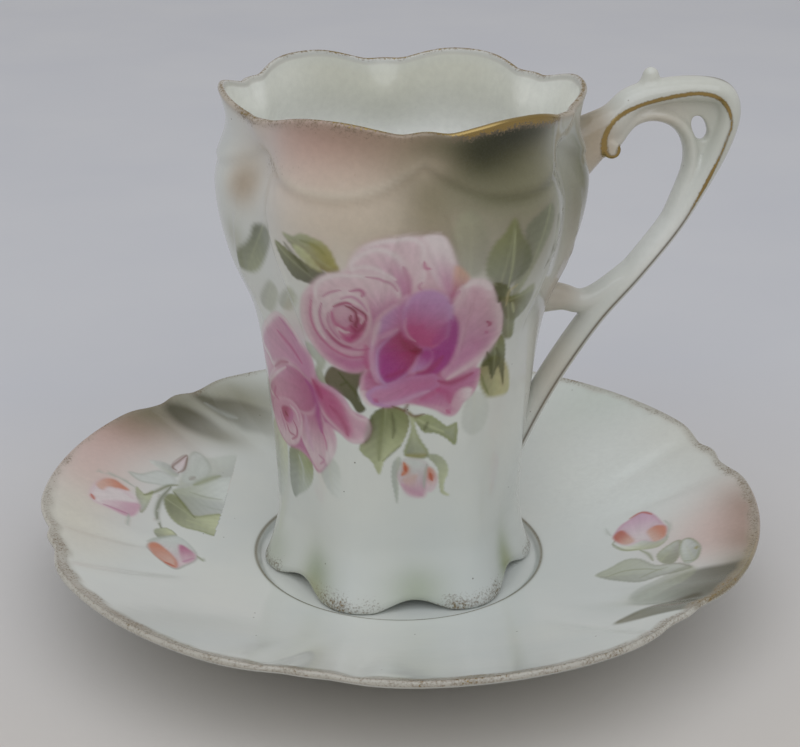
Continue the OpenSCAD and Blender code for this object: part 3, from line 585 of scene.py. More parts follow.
# Bud sprigs on the saucer, in the same form as the roses
BUD_SPRIGS = [
    # left sprig: leaves
    ([-485, 212, -462, 216, -428, 241, -399, 223, -410, 199, -438, 194, -465, 192], [-403, 215, -480, 208], "mist",
     "mist", 0.75, 0.8, "grey_leaf", 0.4),
    ([-447, 265, -419, 270, -395, 250, -401, 232, -425, 245], [-399, 236, -443, 263], "grey_leaf", "mist", 0.7, 0.8),
    ([-395, 198, -384, 248, -360, 300, -323, 320, -274, 329, -277, 257, -325, 247, -365, 219], [-388, 214, -291, 304],
     "leaf_grey", "grey_leaf", 0.42, 1.1),
    ([-405, 185, -380, 204, -341, 237, -285, 258, -297, 128, -343, 118, -367, 110, -385, 145], [-399, 183, -303, 178],
     "leaf_grey", "mist", 0.7, 0.9),
    ([-421, 151, -406, 174, -385, 149, -367, 114, -315, 134, -317, 58, -360, 63, -391, 69, -412, 99], [-414, 150,
     -331, 76], "leaf_dark", "leaf_light", 0.88, 0.8, "leaf", 0.4),
    ([-387, 253, -377, 291, -361, 327, -342, 315, -332, 278, -344, 245, -369, 224, -384, 222], [-369, 234, -358, 319],
     "mist", "mist", 0.6, 0.9, "grey_leaf", 0.5),
    ([-406, 272, -377, 307, -382, 262, -397, 247], [-399, 249, -381, 299], "white_petal", "shell", 0.7, 0.5,
     "stem_brown", 0.2),
    # left sprig: buds
    ([-472, 168, -456, 152, -441, 169, -450, 117, -460, 84, -467, 98], [-447, 160, -467, 98], "leaf_light",
     "grey_leaf", 0.85, 0.5, "leaf_grey", 0.4),
    ([-552, 103, -545, 139, -529, 165, -512, 168, -488, 153, -471, 130, -466, 106, -471, 78, -484, 60, -505, 66, -530,
     73, -546, 82], [-486, 130, -546, 92], "white_petal", "white_petal", 0.85, 0.9, "shell", 0.6),
    ([-527, 86, -506, 101, -482, 108, -466, 109, -471, 78, -484, 60, -505, 66], [-478, 81, -527, 89], "pink", "shell",
     0.75, 1.0),
    ([-541, 141, -529, 165, -512, 172, -497, 162, -486, 151, -504, 148, -522, 145, -532, 129], [-538, 140, -493, 154],
     "peach", "orange", 0.85, 0.9),
    ([-438, 32, -416, 51, -398, 29, -428, 4], [-437, 26, -403, 27], "leaf_grey", "leaf_light", 0.9, 0.5, "leaf_grey",
     0.3),
    ([-451, -28, -428, 4, -400, 28, -379, 11, -363, -25, -367, -54, -384, -81, -400, -101, -418, -90, -437, -64],
     [-402, 13, -407, -92], "mist", "shell", 0.92, 0.5, "grey_leaf", 0.4),
    ([-446, -25, -433, -14, -414, -35, -400, -68, -401, -94, -420, -83, -437, -60], [-445, -28, -403, -87], "orange",
     "peach", 0.85, 0.9, "orange", 0.4),
    ([-393, -6, -379, -12, -367, -34, -376, -61, -388, -63], [-389, -8, -372, -52], "deep_rose", "blush_pink", 0.8,
     0.9),
    # right sprig: leaves
    ([323, -178, 351, -165, 381, -151, 403, -165, 418, -208, 436, -219, 455, -235, 465, -267, 440, -266, 413, -259,
     379, -258, 352, -229, 333, -203], [325, -184, 462, -264], "leaf_grey", "grey_leaf", 0.7, 0.8, "leaf_shade", 0.5),
    ([431, -171, 457, -148, 479, -145, 470, -184, 448, -223, 430, -209], [433, -197, 473, -153], "leaf_grey",
     "grey_leaf", 0.85, 0.5, "leaf_grey", 0.4),
    # right sprig: buds
    ([467, -181, 482, -148, 497, -154, 500, -200, 478, -244, 460, -240], [476, -241, 483, -154], "grey_leaf", "mist",
     0.9, 0.5, "leaf_grey", 0.4),
    ([375, -80, 385, -113, 412, -131, 441, -142, 464, -122, 460, -99, 424, -86, 393, -63], [412, -131, 422, -94],
     "leaf_light", "mist", 0.75, 0.5, "leaf_grey", 0.3),
    ([385, -53, 403, -24, 425, -11, 448, 0, 464, -21, 471, -65, 471, -91, 456, -114, 439, -112, 425, -96, 402, -100,
     389, -81], [420, -101, 441, -3], "white_petal", "lavender_light", 0.9, 0.8, "pink", 0.4),
    ([385, -53, 401, -39, 408, -61, 411, -89, 397, -92, 387, -75], [387, -58, 409, -88], "rust", "peach", 0.85, 0.9),
    ([442, -71, 459, -63, 471, -78, 461, -109, 443, -116, 441, -96], [466, -87, 440, -91], "orange", "peach", 0.85,
     0.9),
    # airbrushed folds beside the small lobes
    ([533, -327, 500, -304, 472, -289, 439, -285, 393, -300, 348, -328, 358, -362, 392, -384, 427, -396, 439, -422,
     454, -430, 481, -402, 508, -369], [490, -360, 349, -318], "fold_green", "grey_leaf", 0.88, 2.4),
    ([463, -260, 446, -254, 415, -268, 375, -286, 349, -312, 362, -332, 392, -334, 432, -316, 464, -286], [460, -270,
     356, -320], "leaf_grey", "grey_leaf", 0.5, 1.2),
    ([439, -395, 410, -384, 377, -386, 347, -393, 318, -408, 297, -419, 324, -434, 354, -441, 383, -450, 407, -461,
     427, -436], [430, -424, 297, -419], "fold_green", "fold_grey", 0.9, 1.2),
    ([-416, 441, -381, 444, -341, 429, -307, 403, -276, 374, -319, 375, -360, 385, -395, 407], [-408, 435, -258, 365],
     "fold_green", None, 0.92, 2.4),
    ([-360, 490, -318, 492, -267, 489, -207, 476, -170, 450, -180, 410, -251, 417, -280, 438, -321, 460], [-352, 487,
     -140, 430], "fold_green", None, 0.75, 2.2),
]
SPRIG_LINES = [
    ([-457, 148, -438, 167, -414, 197, -395, 208], "leaf_dark", 0.45, 0.75),
    ([-408, 196, -427, 148, -434, 93, -426, 46], "leaf_shade", 0.5, 0.85),
    ([-537, 185, -507, 187, -474, 167], "grey_leaf", 0.4, 0.8),
    ([-483, 68, -485, 26], "grey_leaf", 0.4, 0.7),
    ([-450, -15, -428, 8, -400, 32], "grey_leaf", 0.35, 0.8),
    ([-363, -32, -350, -51], "leaf_grey", 0.4, 0.8),
    ([-388, -67, -369, -42], "rose", 0.3, 0.6),
    ([-420, -83, -403, -90], "rust", 0.35, 0.8),
    ([-397, 253, -404, 266, -379, 303], "stem_brown", 0.3, 0.7),
    ([-377, 298, -383, 264, -395, 247], "stem_brown", 0.3, 0.6),
    ([-403, 182, -385, 145, -365, 107], "leaf_dark", 0.35, 0.7),
    ([-365, 219, -340, 243, -315, 263], "leaf", 0.8, 0.55),
    ([-373, 233, -363, 246], "stem_brown", 0.6, 0.4),
    ([-373, 193, -345, 186, -314, 186], "leaf_grey", 0.3, 0.5),
    ([-363, 163, -337, 152, -311, 149], "grey_leaf", 0.3, 0.5),
    ([-382, 94, -360, 88, -339, 74], "leaf_light", 0.4, 0.5),
    ([-550, 101, -544, 86], "rust", 0.45, 0.8),
    ([-528, 78, -506, 73, -484, 67], "rose_dark", 0.35, 0.6),
    ([-504, 148, -489, 139, -477, 125], "shell", 0.5, 0.6),
    ([425, -7, 448, 0, 463, -20], "rust", 0.35, 0.75),
    ([412, -131, 420, -156, 420, -189], "leaf_grey", 0.4, 0.8),
    ([376, -76, 389, -112, 413, -127], "leaf_grey", 0.3, 0.7),
    ([463, -120, 478, -80, 476, -52], "grey_leaf", 0.35, 0.6),
    ([336, -197, 370, -194, 400, -211, 422, -237], "leaf_grey", 0.3, 0.6),
    ([383, -241, 412, -232, 433, -233], "leaf_grey", 0.3, 0.55),
    ([461, -231, 479, -240, 496, -207], "leaf_grey", 0.3, 0.7),
    ([495, -191, 491, -201], "olive", 0.4, 0.8),
    ([376, -6, 381, -46], "grey_leaf", 0.35, 0.5),
    ([301, -416, 354, -401, 408, -414], "sage_dark", 0.8, 0.5),
    # a pale line between the folds at the back left: a painted highlight
    ([-338, 473, -309, 460, -275, 447], "mist", 0.7, 0.3),
]
# The left print was cut straight across its leaves, within this box
PRINT_CUT = [[-27.7, 34.7], [-33.4, 4.6]]
CUT_BOX = [[-36, 2], [-22, 34.5]]

# Airbrushed tints on the saucer, and one cloud of painted light
SAUCER_TINTS = [
    ([-50.4, 36.8], 12, 10, "peach_tint", 0.85),
    ([-56.4, 17.6], 9, 14, "peach_tint", 0.75),
    ([-58.0, 2.0], 6, 12, "cream_tint", 0.7),
    ([-54.5, 29.5], 8, 9, "rose_tint", 0.45),
    ([-49.5, 37.5], 9, 7, "brown_tint", 0.6),
    ([-45.4, 41.8], 9, 7.5, "olive_tint", 0.85),
    ([-40.0, 46.0], 8, 6, "sage_dark", 0.6),
    ([-28.0, 50.0], 12, 7, "sage_tint", 0.75),
    ([-21.0, 47.0], 8, 9, "sage_tint", 0.25),
    ([-31.4, 38.2], 5.5, 3, "sage_tint", 0.5),
    ([-56.1, -8.3], 8, 10, "cream_tint", 0.5),
    ([58.0, -14.0], 7, 13, "rose_tint", 0.5),
    ([53.7, -17.0], 10, 12, "peach_tint", 0.7),
    ([57.0, -24.0], 4.5, 8, "brown_tint", 0.8),
    ([60.5, -13.0], 4.5, 12, "brown_tint", 0.75),
    ([53.5, -33.5], 4.5, 6, "olive_tint", 0.9),
    ([46.5, -39.2], 7, 5, "sage_dark", 0.5),
    ([38.0, -33.0], 6, 3.4, "sage_light", 0.45),
    ([58.5, 17.3], 12, 14, "cream_tint", 0.45),
    ([46.2, 40.4], 12, 10, "mist_green", 0.5),
    # painted light at the right of the cup, over the shadow the cup casts there
    ([42.0, 16.0], 15, 20, "painted_light_white", 0.75),
]


# What a petal's shade leaves of the red, green and blue that lie under it
PETAL_SHADE = np.array([0.82, 0.6, 0.68])


class EnamelAndPaintedLight:
    """Fired colours and painted light and shade laid over a piece: a flat drawing in millimetres, with a colour and
    its cover at each vertex.
    """

    def __init__(self, flat):
        self.flat = np.asarray(flat, float)
        self.colour = np.zeros((len(flat), 3))
        self.cover = np.zeros(len(flat))

    def close_to(self, shape, margin):
        return np.flatnonzero(in_box(self.flat, shape, margin))

    def lay(self, at, colour, cover):
        """A coat over what is there already."""
        cover = np.clip(cover, 0, 1)
        under = self.cover[at] * (1 - cover)
        total = np.maximum(cover + under, 1e-6)
        self.colour[at] = (colour * cover[:, None] + self.colour[at] * under[:, None]) / total[:, None]
        self.cover[at] = cover + under

    def wash(self, colour, cover):
        """One colour over the whole piece."""
        self.lay(ALL, paint_colour(colour), cover)

    def petal(self, outline, line, root, tip, strength, soft=0.5, rim=None, reach=0.5):
        """A petal or leaf, shaded from root to tip, with a rim colour. Without a tip colour it fades out there."""
        edge = rounded(drawn(outline), closed=True)
        at = self.close_to(edge, 2.5)
        p = self.flat[at]
        far, _ = distance(p, edge)
        far = np.where(within(p, edge), far, -far)
        # its shade on what lies under it
        shade = 0.3 * bell(np.minimum(far, 0), 0.8) * self.cover[at] * strength
        self.colour[at] *= 1 - shade[:, None] * (1 - PETAL_SHADE)
        a, b = drawn(line)
        long = np.hypot(*(b - a))
        d = (b - a) / long
        t = np.clip(((p - a) @ d) / long, 0, 1)
        side = (p - a) @ (-d[1], d[0])
        fade = 1 - ease(t) if tip is None else 1
        first, last = paint_colour(root), paint_colour(tip or root)
        colour = first + (last - first) * ease(t)[:, None]
        if root in LEAVES:
            # a leaf has a toothed edge, veins and a pale rib
            far = far - 0.05 * (1 + np.cos(2 * np.pi * (t * long / 0.95 + 0.25 * np.sign(side))))
            veins = np.cos(2 * np.pi * (t * long / 1.7 - np.abs(side) / 2.1))
            colour = colour * (1 + 0.2 * np.tanh(side / 1.2) + 0.03 * veins)[:, None]
            rib = 0.3 * bell(side, 0.22) * (1 - 0.7 * t)
            colour = colour + (paint_colour("leaf_light") - colour) * rib[:, None]
        else:
            # a petal has fine hair lines from its root
            turn = np.arctan2(p[:, 1] - a[1], p[:, 0] - a[0])
            hair = np.sin(19 * turn + 3 * np.sin(3 * turn)) + 0.7 * np.sin(41 * turn + 2 * np.sin(5 * turn))
            colour = colour * (1 + 0.03 * hair * ease(2 * t))[:, None]
        if rim:
            k = bell(far, reach) * (0.25 + 0.75 * t)
            colour = colour + (paint_colour(rim) - colour) * k[:, None]
        self.lay(at, colour, ease(far / soft + 0.7) * strength * fade)

    def stroke(self, line, colour, width, strength):
        """A brush line that thins out towards its ends."""
        line = rounded(drawn(line))
        at = self.close_to(line, 2.5 * width + 0.5)
        far, s = distance(self.flat[at], line)
        thin = width * (0.35 + 0.65 * np.sin(np.pi * s) ** 0.7)
        self.lay(at, paint_colour(colour), strength * bell(far, thin))

    def cloud(self, place, wide, high, colour, strength):
        """An airbrushed cloud of colour."""
        d = (self.flat - np.array(place)) / (wide, high)
        cover = strength * np.exp(-np.sum(d * d, axis=1))
        at = np.flatnonzero(cover > 0.004)
        self.lay(at, paint_colour(colour), cover[at])

    def fire(self, piece, gilding):
        """Leaves the colours and the gilding on the piece's vertices."""
        mesh = piece.data
        enamel_and_painted_light = mesh.attributes.new("enamel_and_painted_light", "FLOAT_COLOR", "POINT")
        enamel_and_painted_light.data.foreach_set("color", np.column_stack([self.colour, self.cover]).astype(np.float32).ravel())
        gold = mesh.attributes.new("gilding", "FLOAT", "POINT")
        gold.data.foreach_set("value", np.asarray(gilding, np.float32))


def paint_colour(name):
    return np.array(linear(COLOURS[name])[:3])


def drawn(numbers):
    """A drawing's numbers as points in millimetres."""
    return np.reshape(numbers, (-1, 2)) / 10


def curve(a, b, c, d, t):
    """Smooth line from b to c."""
    return (2 * b + (c - a) * t + (2 * a - 5 * b + 4 * c - d) * t**2 + (3 * b - a - 3 * c + d) * t**3) / 2


def rounded(shape, closed=False, steps=6):
    """Smooth line through the points of a drawing."""
    p = np.array(shape, float)
    p = np.vstack([p[-1], p, p[:2]]) if closed else np.vstack([2 * p[0] - p[1], p, 2 * p[-1] - p[-2]])
    t = np.linspace(0, 1, steps, endpoint=False)[:, None]
    parts = [curve(*four, t) for four in zip(p, p[1:], p[2:], p[3:])]
    parts.append(p[1:2] if closed else p[-2:-1])
    return np.vstack(parts)


def distance(p, line):
    """Distance from each point to a line, and how far along the line that is, from 0 to 1."""
    best = np.full(len(p), 1e9)
    share = np.zeros(len(p))
    n = len(line) - 1
    for i in range(n):
        a, b = line[i], line[i + 1]
        t = np.clip(((p - a) @ (b - a)) / max((b - a) @ (b - a), 1e-12), 0, 1)
        d = np.hypot(*(p - a - t[:, None] * (b - a)).T)
        closer = d < best
        best = np.where(closer, d, best)
        share = np.where(closer, (i + t) / n, share)
    return best, share


def within(p, edge):
    """Which points lie inside a closed line."""
    inside = np.zeros(len(p), bool)
    x, y = p.T
    for (x0, y0), (x1, y1) in zip(edge, edge[1:]):
        if y0 != y1:
            cross = (y0 > y) != (y1 > y)
            inside ^= cross & (x < (x1 - x0) * (y - y0) / (y1 - y0) + x0)
    return inside


def in_box(flat, shape, margin):
    low, high = np.min(shape, 0) - margin, np.max(shape, 0) + margin
    return np.all((flat > low) & (flat < high), axis=1)


def print_area(flat, rows):
    """Which places lie close to a print's shapes."""
    mask = np.zeros(len(flat), bool)
    for outline, *_ in rows:
        mask |= in_box(flat, drawn(outline), PRINT_MARGIN)
    return mask


def lay_print(fired_and_painted_light, petals, lines):
    for row in petals:
        fired_and_painted_light.petal(*row)
    for row in lines:
        fired_and_painted_light.stroke(*row)


# ---------------------------------------------------------------- the cup body


def cup_profile():
    """From the middle of the underside, round the foot, up the outside, over the lip and down to the floor."""
    under = [[0, 2.3], [5, 2.3], [10, 2.3], [15, 2.3], [19, 2.3], [20.4, 2.15], [21.2, 1.6], [21.7, 0.7], [22, 0.25]]
    foot = [[22.4, 0.05], [22.8, 0], [23.3, 0], [23.7, 0.06], [24, 0.25], [24.13, 0.5]]
    outside = [[float(along(CREST, z)), z] for z in np.linspace(0.9, CUP_H - 0.55, 124)]
    turn = np.radians(np.linspace(0, 180, 9))
    lip = [[LIP_R - LIP / 2 + LIP / 2 * math.cos(t), CUP_H - 0.27 + LIP / 2 * math.sin(t)] for t in turn]
    low = CUP_FLOOR + FLOOR_ROUND
    inside = []
    for z in np.linspace(CUP_H - 0.9, low, 44):
        drop = (CUP_H - LIP / 2 - z) / (CUP_H - LIP / 2 - low)
        inside.append([float(along(CREST, z)) - LIP - (WALL - LIP) * float(ease(drop * 13 / 3)), z])
    r_low = inside[-1][0]
    turn = np.radians([15, 30, 45, 60, 75, 90])
    corner = [[r_low - FLOOR_ROUND * (1 - math.cos(t)), low - FLOOR_ROUND * math.sin(t)] for t in turn]
    floor = [[r, CUP_FLOOR] for r in (13, 10, 7, 4, 2, 0)]
    return under + foot + outside + lip + inside + corner + floor


def cup_outside(r, z):
    return (r > along(CREST, z) - 0.8) | (z > CUP_H - 0.3)


def lappet_edge(a):
    return LAPPET_Z + LAPPET_RISE * ((SECTOR / 2 - np.abs(a)) / (SECTOR / 2)) ** 2


def cup_relief(a, z):
    """Lappets that hang under the large lobes, and the ridges of the arched strips between them."""
    edge = lappet_edge(a)
    lappet = LAPPET * ease((z - edge) / 1.4 + 0.5) * (1 - ease((z - edge - 0.6) / 7.5))
    side = np.clip(8 + 0.5 * (70 - z), 3, 15)
    ridge = RIDGE * bell(np.abs(a) - side, 1.1) * ease((z - 42) / 14) * (1 - ease((z - 71) / 5))
    return lappet + ridge


def press_cup(co):
    """Presses the turned blank into its six lobes, shallower inside, with a scalloped rim and an arched foot."""
    r, b = polar(co)
    z = co[:, 2]
    a = fold(b - CUP_TURN)
    crest = along(CREST, z)
    wall = ease((r / crest - 0.25) / 0.5)
    outside = cup_outside(r, z)
    foot = np.where(z < FOOT_H, ease((r - 20.9) / 1.2), outside)
    shallow = 0.5 * ease((CUP_H - 2 - z) / 12) * ease((z - 6) / 6) * ~outside
    dr = cup_flutes(a, z) * (1 - shallow) * wall
    front = 0.35 + 0.65 * near(b, -90, 30)
    dz = (front * bead(a, 9) - 2.3 * flute(a, 1.3)) * ease((z - 58.5) / 26.9) * wall
    dz = dz + 1.8 * arch(a) * (1 - ease(z / 11)) * foot - FOOT_DROP * (1 - ease(z / 10)) * (outside | (z < FOOT_H))
    dr = dr + cup_relief(a, z + dz) * (outside & (r > crest - 0.3))
    r, b = r + dr, np.radians(b)
    return np.column_stack([r * np.cos(b), r * np.sin(b), WELL_H + z + dz])


def cup_sheet(b, z):
    """Flat drawing of the cup's side: millimetres round it from the middle of the roses, and height."""
    return np.column_stack([SHEET_R * np.radians((b - ROSE_SIDE + 180) % 360 - 180), z])


def cup_gold(b, a, z, up, crown, outside):
    """Gold on the lip, worn to a brown dust and to speckles below it, and round the foot."""
    down = CUP_H - up
    front, gold_lobe, far_side = near(b, -88, 40), near(b, -60, 14, 2.2), near(b, 85, 45)
    lip = 0.48 + 0.08 * front + 0.08 * far_side + 0.3 * gold_lobe - 1.2 * crown
    gold = np.maximum.reduce([
        lip, 0.36 - crown / 3.5, gold_lobe * (0.72 - down / 4), near(b, -118, 40, 1.4) * (0.38 - down / 9),
        near(b, -152, 14, 1.3) * (0.44 - down / 8), 0.27 * near(b, -138, 14) * bell(z - 77, 4),
        np.minimum(0.4, 0.56 - up / 10) * ease((np.abs(a) - 6) / 12), np.minimum(0.44, 0.52 - up / 1.8),
    ])
    return np.where(outside, gold, np.minimum(gold, 0.36 - crown / 2))


def make_cup():
    cup = turned("cup_body_glazed", cup_profile(), CUP_STEPS)
    co = face_centres(cup)
    r, b = polar(co)
    closer_mesh(cup, cup_outside(r, co[:, 2]) & print_area(cup_sheet(b, co[:, 2]), ROSE_SPRAY))
    blank = points(cup)
    r, b = polar(blank)
    up = blank[:, 2]
    outside = cup_outside(r, up)
    move_points(cup, press_cup(blank))
    z = points(cup)[:, 2] - WELL_H
    fired_and_painted_light = EnamelAndPaintedLight(cup_sheet(b, np.where(outside, z, OFF_SHEET)))
    for row in CUP_TINTS:
        fired_and_painted_light.cloud(*row)
    lay_print(fired_and_painted_light, ROSE_SPRAY, ROSE_LINES)

    # The inside is painted whiter than the body, most further down: painted light against the shade inside the cup. It
    # is yellower under the back of the lip
    inner = np.flatnonzero(~outside)
    white, yellow, deep = (paint_colour(name) for name in ("painted_light_lip_white", "lip_back", "painted_light_deep_white"))
    near_lip = white + (yellow - white) * near(b[inner], 83, 45)[:, None]
    colour = near_lip + (deep - near_lip) * ease((CUP_H - 3 - up[inner]) / 15)[:, None]
    fired_and_painted_light.lay(inner, colour, 0.92 * ease((CUP_H + 0.2 - up[inner]) / 1.6))
    # The lappets' edges get a painted highlight at the left, with a faint painted shade under it, and at the right a
    # dark line under them, partly the spray's colour and partly painted shade
    a = fold(b - CUP_TURN)
    below = z - lappet_edge(a)
    left_lobe, right_lobe = near(b, -120, 30, 1.3) * outside, near(b, -60, 30, 1.3) * outside
    fired_and_painted_light.wash("cream_tint", 0.4 * left_lobe * bell(below - 0.5, 0.8))
    fired_and_painted_light.wash("umber_tint", 0.15 * left_lobe * bell(below + 0.9, 0.7))
    fired_and_painted_light.wash("sage_dark", 0.5 * right_lobe * bell(below + 0.5, 0.8))
    # The rim is stained brown, most at the two sides
    crown = np.maximum(CUP_H + 0.28 - up, 0)
    sides = ease(1.4 - np.abs(np.abs(b + 97) - 68) / 22)
    fired_and_painted_light.wash("taupe_tint", (0.3 + 0.45 * sides) * bell(crown, 1.1) * outside)
    fired_and_painted_light.fire(cup, np.where((up < FOOT_H) & (r < FOOT_IN), 0, cup_gold(b, a, z, up, crown, outside)))
    return cup


# ---------------------------------------------------------------- the saucer


def saucer_profile():
    """From the middle of the well, up the dish, round the rim and back under to the foot ring and the axis."""
    well = [[r, WELL_H - FOOT_DROP] for r in (0, 1.5, 4, 8, 12, 16, 20, 23, 24.3)]
    step = [
        [24.6, 5.26], [24.85, 5.34], [25.05, 5.54], [25.25, 5.84], [25.45, 6.1], [25.65, 6.26], [25.9, 6.37],
        [26.3, 6.45], [26.8, 6.5],
    ]
    dish = [[r, float(dish_z(r))] for r in np.linspace(27.4, SAUCER_R - 0.55, 48)]
    h = SAUCER_LIP / 2
    turn = np.radians(np.linspace(75, -75, 9))
    lip = [[SAUCER_R - h + h * math.cos(t), SAUCER_TOP - h - 0.12 + h * math.sin(t)] for t in turn]
    under = [[r, float(under_dish_z(r))] for r in np.linspace(SAUCER_R - 0.6, FLAT_R, 24)]
    ring = [
        [33.2, 2.8], [32.5, 2.75], [32.1, 2.5], [32, 2], [32, 0.7], [31.85, 0.25], [31.5, 0], [30.8, 0], [30.1, 0],
        [29.75, 0.25], [29.6, 0.7], [29.6, 2], [29.5, 2.5], [29.1, 2.75], [28.4, 2.8],
    ]
    bottom = [[r, UNDER_Z] for r in (26, 22, 17, 12, 7, 3, 0)]
    return well + step + dish + lip + under + ring + bottom


def saucer_top(r, z):
    return z > (dish_z(r) + under_dish_z(r)) / 2


def press_saucer(co):
    """Presses the turned blank into its lobes: notches, small lobes and the pleats that run in from them."""
    r, b = polar(co)
    z = co[:, 2]
    a = fold(b - SAUCER_TURN)
    top = saucer_top(r, z)
    start = np.where(top, DISH_R, FLAT_R)
    grow = ease((r - start) / (SAUCER_R - start))
    lobe, notch = bead(a, LOBE_HALF), flute(a, NOTCH_SHARP)
    dr = (LOBE_OUT * lobe - NOTCH * notch) * grow**2
    dz = 0.5 * grow * (lobe - notch)
    pleat = bell(np.abs(a) - 6.5, 2) - 0.6 * bell(np.abs(a) - 11, 2.6)
    dz = dz - PLEAT * pleat * ease((r - 36) / 18) * (1 - 0.6 * ease((r - 58) / 5)) * top
    r, b = r + dr, np.radians(b)
    return np.column_stack([r * np.cos(b), r * np.sin(b), z + dz])


def make_saucer():
    saucer = turned("saucer_glazed", saucer_profile(), SAUCER_STEPS)
    co = face_centres(saucer)
    r, b = polar(co)
    closer_mesh(saucer, saucer_top(r, co[:, 2]) & print_area(co[:, :2], BUD_SPRIGS))
    blank = points(saucer)
    r, b = polar(blank)
    top = saucer_top(r, blank[:, 2])
    move_points(saucer, press_saucer(blank))
    fired_and_painted_light = EnamelAndPaintedLight(np.where(top[:, None], points(saucer)[:, :2], OFF_SHEET))
    for row in SAUCER_TINTS:
        fired_and_painted_light.cloud(*row)
    tinted = fired_and_painted_light.colour.copy(), fired_and_painted_light.cover.copy()
    lay_print(fired_and_painted_light, BUD_SPRIGS, SPRIG_LINES)
    (x0, y0), (x1, y1) = PRINT_CUT
    x, y = fired_and_painted_light.flat.T
    gone = ((x - x0) * (y1 - y0) - (y - y0) * (x1 - x0) < 0) & in_box(fired_and_painted_light.flat, CUT_BOX, 0)
    fired_and_painted_light.colour[gone], fired_and_painted_light.cover[gone] = tinted[0][gone], tinted[1][gone]

    # The gold round the rim is worn to a ragged grey-brown dust, widest at the front left, and goes over the lip
    inwards = SAUCER_R - r
    front, front_left, far_left = near(b, -95, 80, 1.6), near(b, -122, 58), near(b, 180, 28)
    right, lobe = near(b, 15, 45), near(b, -34, 12)
    t = np.radians(b)
    ragged = 0.22 * np.sin(29 * t + 2 * np.sin(7 * t)) + 0.16 * np.sin(67 * t + 2 * np.sin(11 * t))
    wide = 1.7 + 0.7 * front + 0.9 * front_left + 0.5 * right + ragged
    gilt = top | ((r > SAUCER_R - 0.7) & (blank[:, 2] > SAUCER_TOP - 0.95))
    band = np.where(gilt, ease((wide - inwards) / 1.5) * (1 - 0.25 * ease(1.4 - inwards / 0.3)), 0)
    grey, olive = paint_colour("rim_dust"), paint_colour("rim_olive")
    dusty = 0.38 + 0.25 * np.maximum(front, lobe) + 0.27 * front_left + 0.2 * right - 0.15 * far_left
    fired_and_painted_light.lay(ALL, grey + (olive - grey) * lobe[:, None], dusty * band)
    fired_and_painted_light.wash("rim_edge", 0.45 * bell(inwards - wide + 0.8, 0.45) * front_left * top)
    # and the line round the well to a dark khaki
    ring = np.where(top, bell(r - RING_R, 0.28), 0)
    fired_and_painted_light.wash("ring_khaki", 0.95 * ring)
    bits = np.maximum(near(b, -42, 6), near(b, -90, 7))
    gold = (0.32 + 0.05 * front - 0.04 * far_left + 0.08 * bits) * ease((wide + 0.4 - inwards) / 1.4)
    gold = np.where(gilt, gold - 0.05 * (inwards < 0.3), 0)
    fired_and_painted_light.fire(saucer, np.maximum(gold, 0.36 * ring))
    return saucer


# ---------------------------------------------------------------- the handle

# The strap's tail on the cup, and its far upper corner: [distance from the axis, height above the well]
TAIL = (22.07, 20)
FAR = (54.9, 83.5)
# Heights of the strap's root and of the branch on the cup
ROOT_Z = 72
BRANCH_Z = 48
# Rows of [share of the way out, share of the way up, thickness, width]
STRAP = [
    [0.385, 0.912, 6.3, 6.4], [0.5, 0.973, 4.62, 6.4], [0.67, 0.997, 4.2, 6.4], [0.84, 1, 4.2, 6.4],
    [0.962, 0.985, 4.2, 6.4], [1, 0.932, 4.2, 6.4], [0.955, 0.845, 4.2, 6.4], [0.85, 0.735, 4.2, 6.2],
    [0.73, 0.628, 4.2, 5.9], [0.55, 0.504, 4.2, 5.6], [0.36, 0.387, 4.2, 5.4], [0.19, 0.255, 4.2, 5.4],
    [0.06, 0.135, 4.2, 5.4],
]
BAND = [
    [0.42, 0.868, 2.5, 4.6], [0.495, 0.92, 2.5, 4.6], [0.605, 0.937, 2.5, 4.6], [0.725, 0.918, 2.5, 4.6],
    [0.8, 0.87, 2.5, 4.6], [0.82, 0.8, 2.5, 4.6], [0.775, 0.717, 2.5, 4.6], [0.7, 0.622, 2.5, 4.6],
    [0.6, 0.542, 3.2, 4.6], [0.48, 0.48, 3.9, 4.6], [0.36, 0.433, 4.2, 4.6], [0.27, 0.421, 4.2, 4.6],
    [0.17, 0.435, 4.8, 5.0],
]
# Places of the ear scroll, the thumb rest and the pierced hole, in the same shares
SCROLL = (0.385, 0.852)
THUMB = (0.585, 1)
THUMB_TIP = WELL_H + 87.35
HOLE = (0.853, 0.897)
HOLE_ENDS = ((0.868, 0.88), (0.838, 0.914))
# Voxels in which the parts run together, before and after the web is pierced
ROUGH_CAST = 0.3
FINE_CAST = 0.28


def handle_spot(u, v):
    return TAIL[0] + (FAR[0] - TAIL[0]) * u, WELL_H + TAIL[1] + (FAR[1] - TAIL[1]) * v


def handle_rows(rows):
    return [[*handle_spot(u, v), t, w] for u, v, t, w in rows]


def seat_row(z, thick, width):
    """An end in the cup's wall, swollen where the slip was wiped round the join."""
    return [float(along(CREST, z)) - 4.4, WELL_H + z, thick, width]


STRAP_LINE = [seat_row(ROOT_Z, 12, 8.6), *handle_rows(STRAP), [TAIL[0] - 2.2, WELL_H + TAIL[1], 4.6, 6.4]]
BAND_LINE = [*handle_rows(BAND), seat_row(BRANCH_Z, 7.4, 6.6)]

# Gold line on both sides: [distance from the axis, height above the well], from the curl up and over the top
CURL = (33.7, 74.2)
GOLD_LINE = [
    [35.9, 74.5], [35.7, 73.3], [34.7, 72.8], [33.6, 73.3], [33.2, 74.6], [33.2, 76.0], [33.7, 77.6], [35.6, 79.8],
    [38.8, 81.5], [43.8, 82.75], [48.8, 83.4], [52.5, 82.35], [54.3, 80.0], [54.75, 77.7],
]

